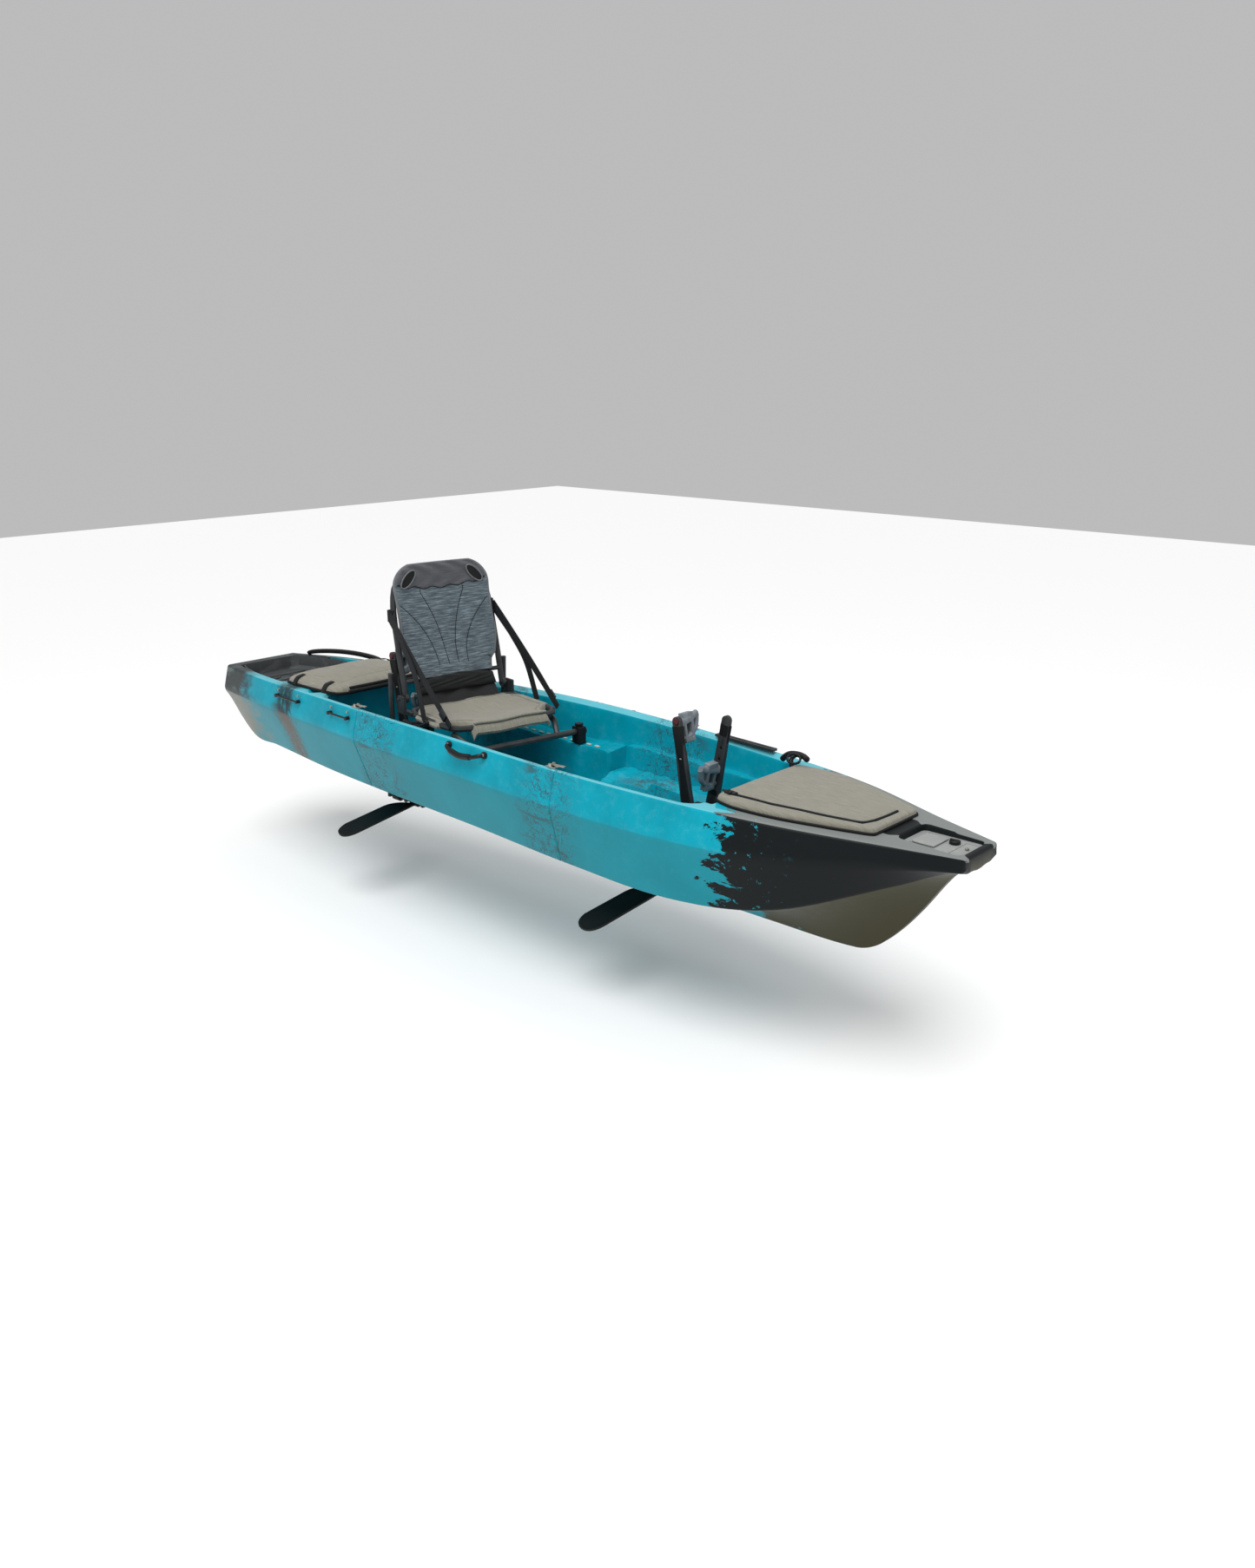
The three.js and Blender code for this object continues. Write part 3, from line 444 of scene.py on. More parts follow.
def makeWebbing(name, hexColour, hexRib):
    # flat woven nylon webbing: ribs run across it every 3 mm
    material, tree, shader = startMaterial(name)
    ribs = threads(tree, clothPlace(tree), 0.003, "X", {}, {"Distortion": 0.6})
    tree.links.new(mixColour(tree, ribs, hexColour, hexRib), shader.inputs["Base Color"])
    setLevels(shader, roughness=0.8, sheenWeight=0.02, specular=0.25)
    bumpFrom(tree, shader, ribs, 0.0008, 0.5)
    return material


hullPlastic = makeHullMaterial()
blackNylon = makePlastic("glassFilledNylonMoulded", "#0e0f11", "#232527", 0.42)
greyPolyethylene = makePlastic("greyPolyethyleneMoulded", "#3f4244", "#626566", 0.5)
trayPlastic = makePlastic("paleGreyAbsMoulded", "#8d908e", "#a8aaa6", 0.48)
pedalPlastic = makePlastic("greyNylonPedalMoulded", "#6f777d", "#a3a9ad", 0.4)
maroonNylon = makePlastic("maroonNylonMoulded", "#4b161d", "#6d2c33", 0.35)
footPlastic = makePlastic("tealNylonMoulded", "#1d7f8b", "#3f98a2", 0.45)
sandFoam = makePlastic("sandEvaFoamCut", "#b9b39e", "#cfcaba", 0.85)
rubber = makePlastic("blackRubberMoulded", "#060707", "#141516", 0.6)
powderCoat = makeMetal("blackPowderCoatedAluminium", "#0f1012", 0.36, 0.0, 0.18)
stainless = makeMetal("stainlessSteelPressed", "#b4b2a8", 0.3, 1.0, 0.3)
khakiMesh = makeFabric("coatedKhakiMeshWoven", "#98958a", "#6f6c5f", "#aeab9b", 0.0024, 0.3)
blueMesh = makeFabric("heatherBlueMeshWoven", "#566770", "#313d45", "#8b9ba3", 0.0022, 0.75)
topFabric = makeFabric("greyTwillWoven", "#5e5e64", "#47474c", "#6c6c72", 0.0018, 0.3)
pipingFabric = makeFabric("paleGreyBindingWoven", "#777c80", "#54595d", "#8d9296", 0.0016, 0.3)
darkFabric = makeFabric("blackNylonWoven", "#131518", "#08090a", "#202327", 0.002, 0.3, 0.03)
blackWebbing = makeWebbing("blackNylonWebbingWoven", "#0b0c0e", "#1f2124")
stitching = makePlastic("blackPolyesterThread", "#15191c", "#20252a", 0.8)
print("materials made")


# hull modules

hullLines = {  # stations along the boat in metres: [x, half-breadth, height]
    "sheer": [[-1.875, .175, .432], [-1.475, .266, .448], [-.975, .318, .458], [-.475, .36, .465],
              [.025, .381, .466], [.525, .374, .455], [.975, .335, .444], [1.325, .274, .436],
              [1.675, .160, .422], [1.875, .098, .415]],
    "knuckle": [[-1.875, .205, .322], [-1.475, .294, .343], [-.975, .346, .347], [-.475, .388, .347],
                [.025, .408, .345], [.525, .403, .334], [.975, .365, .326], [1.325, .303, .334],
                [1.675, .176, .362], [1.875, .104, .374]],
    "chine": [[-1.875, .168, .292], [-1.79, .174, .205], [-1.655, .182, .124], [-1.475, .202, .128],
              [-.975, .268, .130], [-.475, .306, .131], [.025, .328, .128], [.525, .348, .118],
              [.975, .332, .110],
              [1.325, .264, .152], [1.675, .130, .290], [1.8, .084, .346], [1.875, .064, .362]],
    "keel": [[-1.875, .03, .286], [-1.79, .034, .186], [-1.655, .04, .086], [-1.52, .042, .042],
             [-1.2, .042, .016],
             [-.975, .042, 0],
             [0, .042, 0], [1.2, .042, 0], [1.49, .03, 0], [1.56, .022, .024], [1.63, .015, .09],
             [1.7, .012, .178], [1.79, .012, .308], [1.84, .012, .350], [1.875, .012, .358]],
    "tunnel": [[-1.875, .095, .290], [-1.79, .105, .2], [-1.655, .11, .112], [-1.475, .12, .092],
               [0, .165, .088], [.975, .16, .084], [1.325, .125, .092], [1.56, .085, .15],
               [1.675, .066, .232], [1.8, .045, .336],
               [1.875, .038, .360]]}
hullSize = {"step": 0.010, "ledge": 0.330, "ledgeRise": 0.018, "floor": 0.175, "rimFall": 0.014,
            "benchRise": 0.068, "saddleRise": 0.030, "tank": 0.372, "tray": 0.398, "wallRun": 0.012,
            "gunwaleRadius": 0.011, "chineRadius": 0.009, "knuckleRadius": 0.022, "seamGap": 0.0002,
            "groove": 0.0035, "grooveReach": 0.006}
hullWells = {  # fore and aft ends, corner radius
    "cockpit": (-.976, 1.055, .070), "lower": (-.974, .995, .060), "tank": (-1.79, -1.29, .045),
    "tray": (1.640, 1.848, .020)}


def hullAt(name, x):
    line = np.array(hullLines[name])
    return through(line[:, 0], line[:, 1:], x)


def cornerCurve(a, b, c, radius, t):
    # quadratic curve that rounds the corner at b of the path a-b-c
    start = b + unit(a - b) * radius
    end = b + unit(c - b) * radius
    t = t[None, :, None]
    return (1 - t) ** 2 * start[:, None] + 2 * t * (1 - t) * b[:, None] + t**2 * end[:, None]


def lineBetween(a, b, t):
    t = t[None, :, None]
    return a[:, None] * (1 - t) + b[:, None] * t


def pulledIn(x, well, relax=0.06):
    # how far a well's side wall turns in at its rounded ends, easing back outside the well
    low, high, radius = hullWells[well]
    d = np.minimum(x - low, high - x)
    inside = radius - np.sqrt(np.maximum(radius**2 - (radius - np.clip(d, 0, radius)) ** 2, 0))
    return np.where(d >= 0, inside, radius * (1 - clampSmooth(-d / relax)))


def wellDepth(x, y, well, wall):
    # 1 inside a well, 0 outside it, smooth across its walls
    low, high, radius = hullWells[well]
    run = hullSize["wallRun"]
    end = clampSmooth((np.minimum(x - low, high - x)) / run + 0.5)
    return end * clampSmooth((wall - np.abs(y)) / run + 0.5)


def footwell(x):
    # 0 beside the seat, where the ledge is wide, and 1 forward of it, where the well opens out
    return clampSmooth((x - 0.182) / 0.030) * (1 - clampSmooth((x - 1.02) / 0.04))


def wallLines(x):
    # half-breadths of the upper and lower well walls
    breadth = hullAt("sheer", x)[:, 0]
    pull = np.where(x < -1.13, pulledIn(x, "tank"), pulledIn(x, "cockpit"))
    upper = breadth - 0.045 - pull * np.clip(breadth / 0.3, 0.3, 1)
    wide = footwell(x)
    lower = np.minimum(breadth - 0.060, 0.218) * (1 - wide) + (breadth - 0.088) * wide - pulledIn(x, "lower")
    tray = 0.079 - pulledIn(x, "tray", 0.03)
    toTray = clampSmooth((x - 1.15) / 0.35)
    lower = lower * (1 - toTray) + tray * toTray
    upper = np.maximum(upper, lower + 0.012)
    upper = np.minimum(upper, breadth - 0.016 - 0.022 * clampSmooth((1.6 - x) / 0.3))
    return upper, np.minimum(lower, upper - 0.010)


def deckHeight(x, y, sheerZ, upper, lower):
    s = hullSize
    side = np.abs(y)
    # the gunwale's flat top falls a little toward the well, so that water runs in
    fall = clampSmooth((upper + 0.030 - side) / 0.028) * np.where(np.abs(x) < 1.08, 1.0, 0.0)
    height = sheerZ - s["rimFall"] * fall
    cockpit = wellDepth(x, y, "cockpit", upper)
    ledge = s["ledge"] + s["ledgeRise"] * footwell(x)
    height = height * (1 - cockpit) + ledge * cockpit
    deep = wellDepth(x, y, "lower", lower) * np.where(x < 1.2, 1.0, 0.0)
    # benches beside the middle channel, and a saddle on each that the heel rests against
    bench = footwell(x) * clampSmooth((side - 0.132) / 0.016)
    saddle = clampSmooth((x - 0.44) / 0.03) * (1 - clampSmooth((x - 0.60) / 0.12))
    saddle = saddle * clampSmooth((side - 0.134) / 0.018) * (1 - clampSmooth((side - 0.190) / 0.030))
    bottom = s["floor"] + s["benchRise"] * bench + s["saddleRise"] * saddle
    height = height - (ledge - bottom) * deep
    height = height - (sheerZ - s["tank"]) * wellDepth(x, y, "tank", upper) * np.where(x < -1.13, 1.0, 0.0)
    height = height - (sheerZ - s["tray"]) * wellDepth(x, y, "tray", lower) * np.where(x > 1.2, 1.0, 0.0)
    # floor of the cockpit: moulded ridges along it
    flat = clampSmooth((deep - 0.97) / 0.03)
    ridge = 0.5 + 0.5 * np.cos(2 * np.pi * side / 0.052)
    panel = clampSmooth((0.165 - side) / 0.02) * clampSmooth((side - 0.045) / 0.015)
    cells = clampSmooth((0.5 + 0.5 * np.cos(2 * np.pi * (x - 0.05) / 0.34) - 0.12) / 0.1)
    height = height + 0.006 * flat * clampSmooth((ridge - 0.45) / 0.3) * panel * cells
    # foot braces: a row of rises up the inner slope of the floor
    brace = clampSmooth((side - 0.170) / 0.035)
    steps = 0.5 + 0.5 * np.cos(2 * np.pi * x / 0.085)
    height = height + flat * brace * (0.018 + 0.006 * clampSmooth((steps - 0.4) / 0.3) * clampSmooth(x / 0.1))
    # shallow dimples on the ledge
    shelf = clampSmooth((cockpit - 0.97) / 0.03) * (1 - clampSmooth(deep / 0.03))
    height = height - 0.004 * shelf * clampSmooth((0.5 + 0.5 * np.cos(2 * np.pi * x / 0.21) - 0.62) / 0.15)
    return height


def hullRings(x):
    s = hullSize
    names = ("sheer", "knuckle", "chine", "keel", "tunnel")
    sheer, knuckle, chine, keel, tunnel = [hullAt(k, x) for k in names]
    centre = np.stack([np.zeros_like(x), keel[:, 1]], axis=1)
    bow = clampSmooth((x - 1.55) / 0.3)[:, None]
    bend = 2 * tunnel - 0.5 * (keel + chine)
    bend = bend * (1 - bow) + (0.5 * (keel + chine) + [0.0, 0.004]) * bow
    t = np.linspace(0, 1, 25)[None, :, None]
    belly = (1 - t) ** 2 * keel[:, None] + 2 * t * (1 - t) * bend[:, None] + t**2 * chine[:, None]
    small = (1 - 0.6 * bow)
    arc = np.linspace(0, 1, 7)
    chineRound = cornerCurve(belly[:, 21], chine, knuckle, s["chineRadius"] * small, arc)
    knuckleRound = cornerCurve(chine, knuckle, sheer, s["knuckleRadius"] * (1 - 0.75 * bow),
                               np.linspace(0, 1, 9))
    deckStart = np.stack([sheer[:, 0] - 0.02, sheer[:, 1]], axis=1)
    gunwale = cornerCurve(knuckle, sheer, deckStart, s["gunwaleRadius"] * small, np.linspace(0, 1, 10))
    upper, lower = wallLines(x)
    stops = [gunwale[:, -1, 0], upper + 0.007, upper - 0.007, np.minimum(lower + 0.007, upper - 0.008),
             lower - 0.007, np.zeros_like(x)]
    counts = [7, 13, 12, 14, 24]
    spans = []
    for k, count in enumerate(counts):
        t = np.linspace(0, 1, count + 1)[1:]
        spans.append(stops[k][:, None] * (1 - t) + stops[k + 1][:, None] * t)
    y = np.concatenate(spans, axis=1)
    z = deckHeight(x[:, None], y, sheer[:, 1:], upper[:, None], lower[:, None])
    deck = np.stack([y, z], axis=2)
    half = np.concatenate([
        centre[:, None], lineBetween(centre, keel, np.array([0.5, 0.9])), belly[:, :22],
        chineRound, lineBetween(chineRound[:, -1], knuckleRound[:, 0], np.linspace(0, 1, 12)[1:-1]),
        knuckleRound,
        lineBetween(knuckleRound[:, -1], gunwale[:, 0], np.linspace(0, 1, 8)[1:-1]), gunwale, deck], axis=1)
    n = half.shape[1]
    # marks for the colours: below the chine, below the knuckle, and the deck (half its value inboard), which
    # carries the painted sheen
    marks = np.zeros((n, 3))
    deckFrom = n - deck.shape[1]
    marks[:28, 0] = 1
    marks[:46, 1] = 1
    marks[deckFrom - 5:deckFrom + 7, 2] = 1
    marks[deckFrom + 7:deckFrom + 33, 2] = 0.5
    mirrored = half[:, 1:-1][:, ::-1] * [-1, 1]
    ring = np.concatenate([half, mirrored], axis=1)
    return ring, np.concatenate([marks, marks[1:-1][::-1]])


def hullStations(start, end):
    step = hullSize["step"]
    marks = [k for well in hullWells.values() for k in well[:2]]
    fine = [np.arange(k - 0.012, k + 0.014, 0.0025) for k in marks]
    mid = [np.arange(k - 0.075, k + 0.075, 0.006) for k in marks]
    ends = np.array([0, 0.0012, 0.003, 0.006, 0.010, 0.016, 0.024])
    x = np.concatenate([np.arange(start, end, step), *fine, *mid, start + ends, end - ends])
    x = np.unique(np.round(x[(x >= start) & (x <= end)], 4))
    x = x[np.r_[True, np.diff(x) > 0.0009]]
    x[-1] = end
    return x


def makeHull(name, start, end, noseRadius, tailRadius):
    # a closed skin of rings across the boat, drawn in to a round nose, tail or seam groove at its ends
    x = hullStations(start, end)
    ring, marks = hullRings(x)
    tangent = unit(np.roll(ring, -1, axis=1) - np.roll(ring, 1, axis=1))
    inward = np.stack([-tangent[..., 1], tangent[..., 0]], axis=-1)

    def rounding(d, radius):
        d = np.clip(d, 0, radius)
        return radius - np.sqrt(np.maximum(radius**2 - (radius - d) ** 2, 0))
    shrink = np.zeros_like(x)
    for distance, radius in ((x - start, tailRadius), (end - x, noseRadius)):
        if radius:
            shrink = shrink + rounding(distance, radius)
        else:
            t = np.clip(1 - distance / hullSize["grooveReach"], 0, 1)
            shrink = shrink + hullSize["groove"] * t * t
    ring = ring + inward * shrink[:, None, None]
    n, m = ring.shape[:2]
    verts = np.concatenate([np.broadcast_to(x[:, None, None], (n, m, 1)), ring], axis=2)
    faces = [face[::-1] for face in quadGrid(n, m, closeColumns=True)]
    # end caps: each step of the skin is joined to the stretch of deck that lies over it
    skinStops, deckStops = [0, 28, 46, 62], [136, 113, 87, 70]
    over = np.round(np.interp(np.arange(63), skinStops, deckStops)).astype(int)
    halfCap = [[k, k + 1] + list(range(over[k + 1], over[k] + 1)) for k in range(62)] + [list(range(62, 71))]
    mirrorCap = [[(m - k) % m for k in face[::-1]] for face in halfCap]
    nearCap = [face[::-1] for face in halfCap + mirrorCap]
    faces += nearCap + [[(n - 1) * m + k for k in face[::-1]] for face in nearCap]
    piece = putMesh(name + "Skin", verts, faces, hullPlastic, "hull", sharp=58, replaced=[name],
                    slot="hull_plastic")
    for k, attribute in enumerate(("belly", "lowBand", "rim")):
        values = np.broadcast_to(marks[None, :, k], (n, m)).ravel().astype(np.float32)
        piece.data.attributes.new(attribute, "FLOAT", "POINT").data.foreach_set("value", values.copy())
    return piece


gap = hullSize["seamGap"]
makeHull("stern_hull", -1.875, -0.640 - gap, 0, 0.024)
makeHull("mid_hull", -0.640 + gap, 0.490 - gap, 0, 0)
makeHull("bow_hull", 0.490 + gap, 1.875, 0.010, 0)
print("hull made")


# seat frame of reference

seatPlace = {"turn": math.radians(-10.0), "pivot": (-0.475, 0.020, 0.505), "recline": math.radians(13.0)}
seatTurn = np.array([[math.cos(seatPlace["turn"]), -math.sin(seatPlace["turn"]), 0],
                     [math.sin(seatPlace["turn"]), math.cos(seatPlace["turn"]), 0], [0, 0, 1]])


def inSeat(points):  # from the seat's own frame (forward, port, up, from the back pivot) to the boat's
    return np.asarray(points, float) @ seatTurn.T + np.array(seatPlace["pivot"])


def onBack(side, up, out):  # a point on the reclined back: sideways, up along it, and out in front of it
    lean = seatPlace["recline"]
    forward = -math.sin(lean) * up + math.cos(lean) * out
    height = math.cos(lean) * up + math.sin(lean) * out
    return inSeat(np.stack(np.broadcast_arrays(forward, side, height), axis=-1))


def withCloth(piece, u, v):  # a UV map in metres along and across the cloth
    layer = piece.data.uv_layers.new(name="cloth")
    index = np.zeros(len(piece.data.loops), int)
    piece.data.loops.foreach_get("vertex_index", index)
    uv = np.stack([np.ravel(u), np.ravel(v)], axis=1)
    layer.data.foreach_set("uv", uv[index].ravel().astype(np.float32))


def clothGrid(piece, u, v):  # the same for a shell: both its skins share one flat layout
    u, v = np.broadcast_arrays(u, v)
    withCloth(piece, np.tile(u.ravel(), 2), np.tile(v.ravel(), 2))


def shell(top, bottom):
    # a closed skin from two matching grids, joined round their edges
    n, m = top.shape[:2]
    verts = np.concatenate([top.reshape(-1, 3), bottom.reshape(-1, 3)])
    upper = quadGrid(n, m)
    lower = [[k + n * m for k in face[::-1]] for face in upper]
    rim = np.concatenate([np.arange(m), np.arange(1, n) * m + m - 1, (n - 1) * m + np.arange(m - 2, -1, -1),
                          np.arange(n - 2, 0, -1) * m])
    after = np.roll(rim, -1)
    sides = np.stack([rim, rim + n * m, after + n * m, after], axis=1).tolist()
    return verts, upper + lower + sides


def plane(piece):  # UVs straight from x and y, for cloth lying nearly flat
    n = len(piece.data.vertices)
    co = np.zeros(n * 3)
    piece.data.vertices.foreach_get("co", co)
    withCloth(piece, co[0::3], co[1::3])


# seat back: mesh panel, padded top band, piping, stitch lines

backSize = {"half": 0.214, "low": 0.066, "high": 0.512, "cornerTop": 0.100, "cutOut": 0.034, "thick": 0.016,
            "topBand": 0.416, "pipe": 0.0062, "out": 0.0135, "hollow": 0.016,
            "rearHollow": 0.010, "fold": 0.0020,
            "stitchDent": 0.0022, "stitchWidth": 0.0035, "stitch": 0.0013, "bandStitch": 0.0020}
gripSize = {"side": 0.150, "up": 0.456, "halfWide": 0.019, "halfLong": 0.044, "tilt": 0.80, "rim": 0.0030}


def backHalfWidth(up):  # outline of the panel: rounded top corners, cut-outs low down for the hinge posts
    s = backSize
    top = s["high"] - s["cornerTop"]
    t = np.clip((up - top) / s["cornerTop"], 0, 1)
    rounded = s["half"] - s["cornerTop"] * (1 - np.sqrt(1 - t * t))
    waist = 0.006 * clampSmooth((up - 0.20) / 0.1) * (1 - clampSmooth((up - 0.38) / 0.08))
    low = 1 - clampSmooth((up - s["low"] - 0.040) / 0.030)
    taper = 0.030 * clampSmooth((0.235 - up) / 0.17)
    return rounded - waist - taper - 0.5 * s["cutOut"] * low


def stitchSide(k, up):  # a fan of curves, upright at the foot and bending outwards as they rise
    t = np.clip((up - 0.10) / 0.30, 0, 1)
    return np.sign(k) * (0.044 * abs(k) - 0.022 + (0.075 + 0.110 * (abs(k) - 1)) * t**2.2)


def bandEdge(side):  # lower edge of the top band: scalloped, rising to the sides
    return backSize["topBand"] + 0.020 * np.abs(side / backSize["half"]) ** 2 - 0.004 * np.cos(side * 80)


def backHollow(side, up):  # a hollow across the back, deepest in the middle, that fades to the rims
    u = side / backHalfWidth(up)
    return (1 - u**2) * clampSmooth((up - 0.08) / 0.12) * clampSmooth((backSize["high"] - up) / 0.10)


def backFront(side, up):  # how far the front skin stands out: thickness less the hollow
    s = backSize
    band = clampSmooth((up - bandEdge(side)) / 0.004)
    edge = clampSmooth((1 - np.abs(side / backHalfWidth(up))) / 0.035)
    return s["out"] + s["thick"] - s["hollow"] * backHollow(side, up) + 0.003 * band - 0.004 * (1 - edge)


def makeSeatBack():
    s = backSize
    rows, columns = 150, 130
    rise = (0.5 - 0.5 * np.cos(np.linspace(0.0, np.pi, rows)))[:, None]
    up = s["low"] + (s["high"] - s["low"]) * rise
    u = np.sin(np.linspace(-1, 1, columns) * np.pi / 2 * 0.94)[None, :]
    side = u / u.max() * backHalfWidth(up)
    folds = s["fold"] * np.sin(70 * side + 9 * np.sin(24 * up)) * clampSmooth((up - s["topBand"]) / 0.02)
    band = clampSmooth((up - bandEdge(side)) / 0.004)
    front = backFront(side, up) + folds
    pull = 0.0
    for k in (-2, -1, 1, 2):
        near = np.exp(-((side - stitchSide(k, up)) / s["stitchWidth"]) ** 2)
        pull = pull + s["stitchDent"] * near * (1 - band) * clampSmooth((up - 0.10) / 0.02)
    rear = s["out"] - s["rearHollow"] * backHollow(side, up)
    verts, faces = shell(onBack(side, up, front - pull), onBack(side, up, rear))
    piece = putMesh("seatBackPanel", verts, faces, blueMesh, "seat_back", sharp=50, replaced=["back_cover"],
                    slot="blue_mesh")
    piece.data.materials.append(topFabric)
    grid = np.concatenate([band.ravel(), band.ravel()])
    faceBand = np.array([np.mean(grid[list(face.vertices)]) > 0.5 for face in piece.data.polygons], int)
    piece.data.polygons.foreach_set("material_index", faceBand)
    clothGrid(piece, side, up)
    # piping round the panel edge, pale at the sides
    sideUp = np.linspace(s["low"], s["high"] - 0.002, 90)
    right = np.stack([backHalfWidth(sideUp), sideUp], axis=1)
    outline = np.concatenate([right, right[::-1] * [-1, 1]])
    path = onBack(outline[:, 0], outline[:, 1], s["out"] + 0.009)
    rounds, sides = 260, 10
    v, f = sweepArrays(smoothPath(path, rounds), circle(s["pipe"], sides),
                       up=seatTurn @ np.array([1.0, 0, 0.2]))
    pipe = putMesh("seatBackPiping", v, f, pipingFabric, "seat_back", slot="blue_mesh")
    withCloth(pipe, np.repeat(np.arange(rounds) * 0.006, sides), np.tile(np.arange(sides) * 0.004, rounds))
    # stitch lines: four curves fanning from the foot of the panel, and one along the band's lower edge
    lines = []
    for k in (-2, -1, 1, 2):
        up = np.linspace(0.105, s["topBand"] - 0.004, 90)
        side = stitchSide(k, up)
        keep = np.abs(side) < backHalfWidth(up) - 0.010
        side, up = side[keep], up[keep]
        path = onBack(side, up, backFront(side, up) - 0.0012)
        lines.append(sweepArrays(path, circle(s["stitch"], 6), up=(1, 0, 0)))
    side = np.linspace(-0.198, 0.198, 120)
    up = bandEdge(side)
    path = onBack(side, up, backFront(side, up) + 0.0004)
    lines.append(sweepArrays(path, circle(s["bandStitch"], 6), up=(1, 0, 0)))
    for sgn in (-1, 1):
        path = onBack(sgn * np.linspace(0.16, 0.175, 6), np.linspace(0.12, 0.11, 6), s["out"] + s["thick"])
        lines.append(sweepArrays(path, circle(0.0014, 6)))
    putParts("seatBackStitching", lines, stitching, "seat_back", slot="blue_mesh")
    # oval grab openings in the top corners, each with a thin pale rim and a painted shade inside: a flat
    # black disc for the dark of the opening
    g = gripSize
    rims, shadeDiscs = [], []
    normal = seatTurn @ np.array([math.cos(seatPlace["recline"]), 0, math.sin(seatPlace["recline"])])
    a = np.linspace(0, 2 * np.pi, 48, endpoint=False)
    across, along = g["halfWide"] * np.cos(a), g["halfLong"] * np.sin(a)
    for sgn in (-1, 1):
        c, d = math.cos(sgn * g["tilt"]), math.sin(sgn * g["tilt"])
        side = sgn * g["side"] + across * c - along * d
        up = g["up"] + across * d + along * c
        ring = onBack(side, up, backFront(side, up) + 0.0045)
        rims.append(sweepArrays(np.concatenate([ring, ring[:1]]), circle(g["rim"], 8), up=normal))
        # painted shade: a flat black disc just in front of the panel stands in for the dark inside of the
        # opening
        centre = ring.mean(axis=0)
        inner = centre + (ring - centre) * 0.97 + normal * 0.0008
        shadeDiscs.append((np.concatenate([inner, [centre + normal * 0.0006]]),
                      [[k, (k + 1) % 48, 48] for k in range(48)]))
    plane(putParts("seatBackGripRims", rims, pipingFabric, "seat_back", slot="blue_mesh"))
    putParts("seatBackGripPaintedShade", shadeDiscs, rubber, "seat_back", sharp=0, slot="black_fabric")


makeSeatBack()


# lumbar panel and skirt below the back

lumbarSize = {"half": 0.183, "taper": 0.010, "low": 0.004, "high": 0.074, "cornerDrop": 0.022,
              "back": 0.0135, "front": 0.0225, "puff": 0.011, "wrinkle": 0.0012}
skirtSize = {"half": 0.176, "from": (0.004, 0.016), "run": 0.060, "fall": 0.050, "fold": 0.004,
             "thick": 0.002}


def makeLumbar():
    # a low pad whose puff is the root of two flattened curves' product, and a folded skirt below it
    s = lumbarSize
    rows, columns = 40, 100
    t = np.linspace(0, 1, rows)[:, None]
    u = np.linspace(-1, 1, columns)[None, :]
    side = u * (s["half"] - s["taper"] * t)
    up = s["low"] + (s["high"] - s["cornerDrop"] * u**2 - s["low"]) * t
    puff = np.sqrt(np.maximum((1 - np.abs(u) ** 6) * (1 - np.abs(2 * t - 1) ** 4), 0))
    wrinkle = s["wrinkle"] * np.sin(60 * side + 5 * np.sin(90 * up))
    front = s["front"] + (s["puff"] + wrinkle) * puff
    verts, faces = shell(onBack(side, up, front), onBack(side, up, s["back"] - 0.002 * puff))
    piece = putMesh("lumbarPad", verts, faces, darkFabric, "seat_back", sharp=60, replaced=["lumbar_pad"],
                    slot="black_fabric")
    clothGrid(piece, side, up)
    # skirt: black cloth from the back's foot to the rear of the seat, in folds
    s = skirtSize
    t = np.linspace(0, 1, 30)[:, None]
    u = np.linspace(-1, 1, 120)[None, :]
    side = u * s["half"]
    forward = s["from"][0] + s["run"] * t + s["fold"] * np.sin(55 * side + 2 * t)
    height = s["from"][1] - s["fall"] * t + s["fold"] * np.sin(41 * side + 3 * t)
    top = inSeat(np.stack(np.broadcast_arrays(forward, side, height), axis=-1))
    bottom = inSeat(np.stack(np.broadcast_arrays(forward - s["thick"], side, height - s["thick"]), axis=-1))
    verts, faces = shell(top, bottom)
    plane(putMesh("seatSkirt", verts, faces, darkFabric, "seat_base", sharp=60, slot="black_fabric"))


makeLumbar()


# seat mesh: wraps the side tubes, rolled front edge with concave corners

meshSize = {"start": 0.058, "length": 0.354, "halfRear": 0.206, "flare": 0.052, "nip": 0.085, "top": -0.0285,
            "sag": 0.020, "ripple": 0.002, "wrapDrop": 0.020, "rollDrop": 0.034, "rollOut": 0.014,
            "hem": 0.006, "seam": 0.0018, "sideSeam": 0.0016, "thick": 0.010}
lashingSize = {"forward": (0.12, 0.21, 0.30), "half": 0.215, "height": -0.062, "sag": 0.012, "width": 0.025}


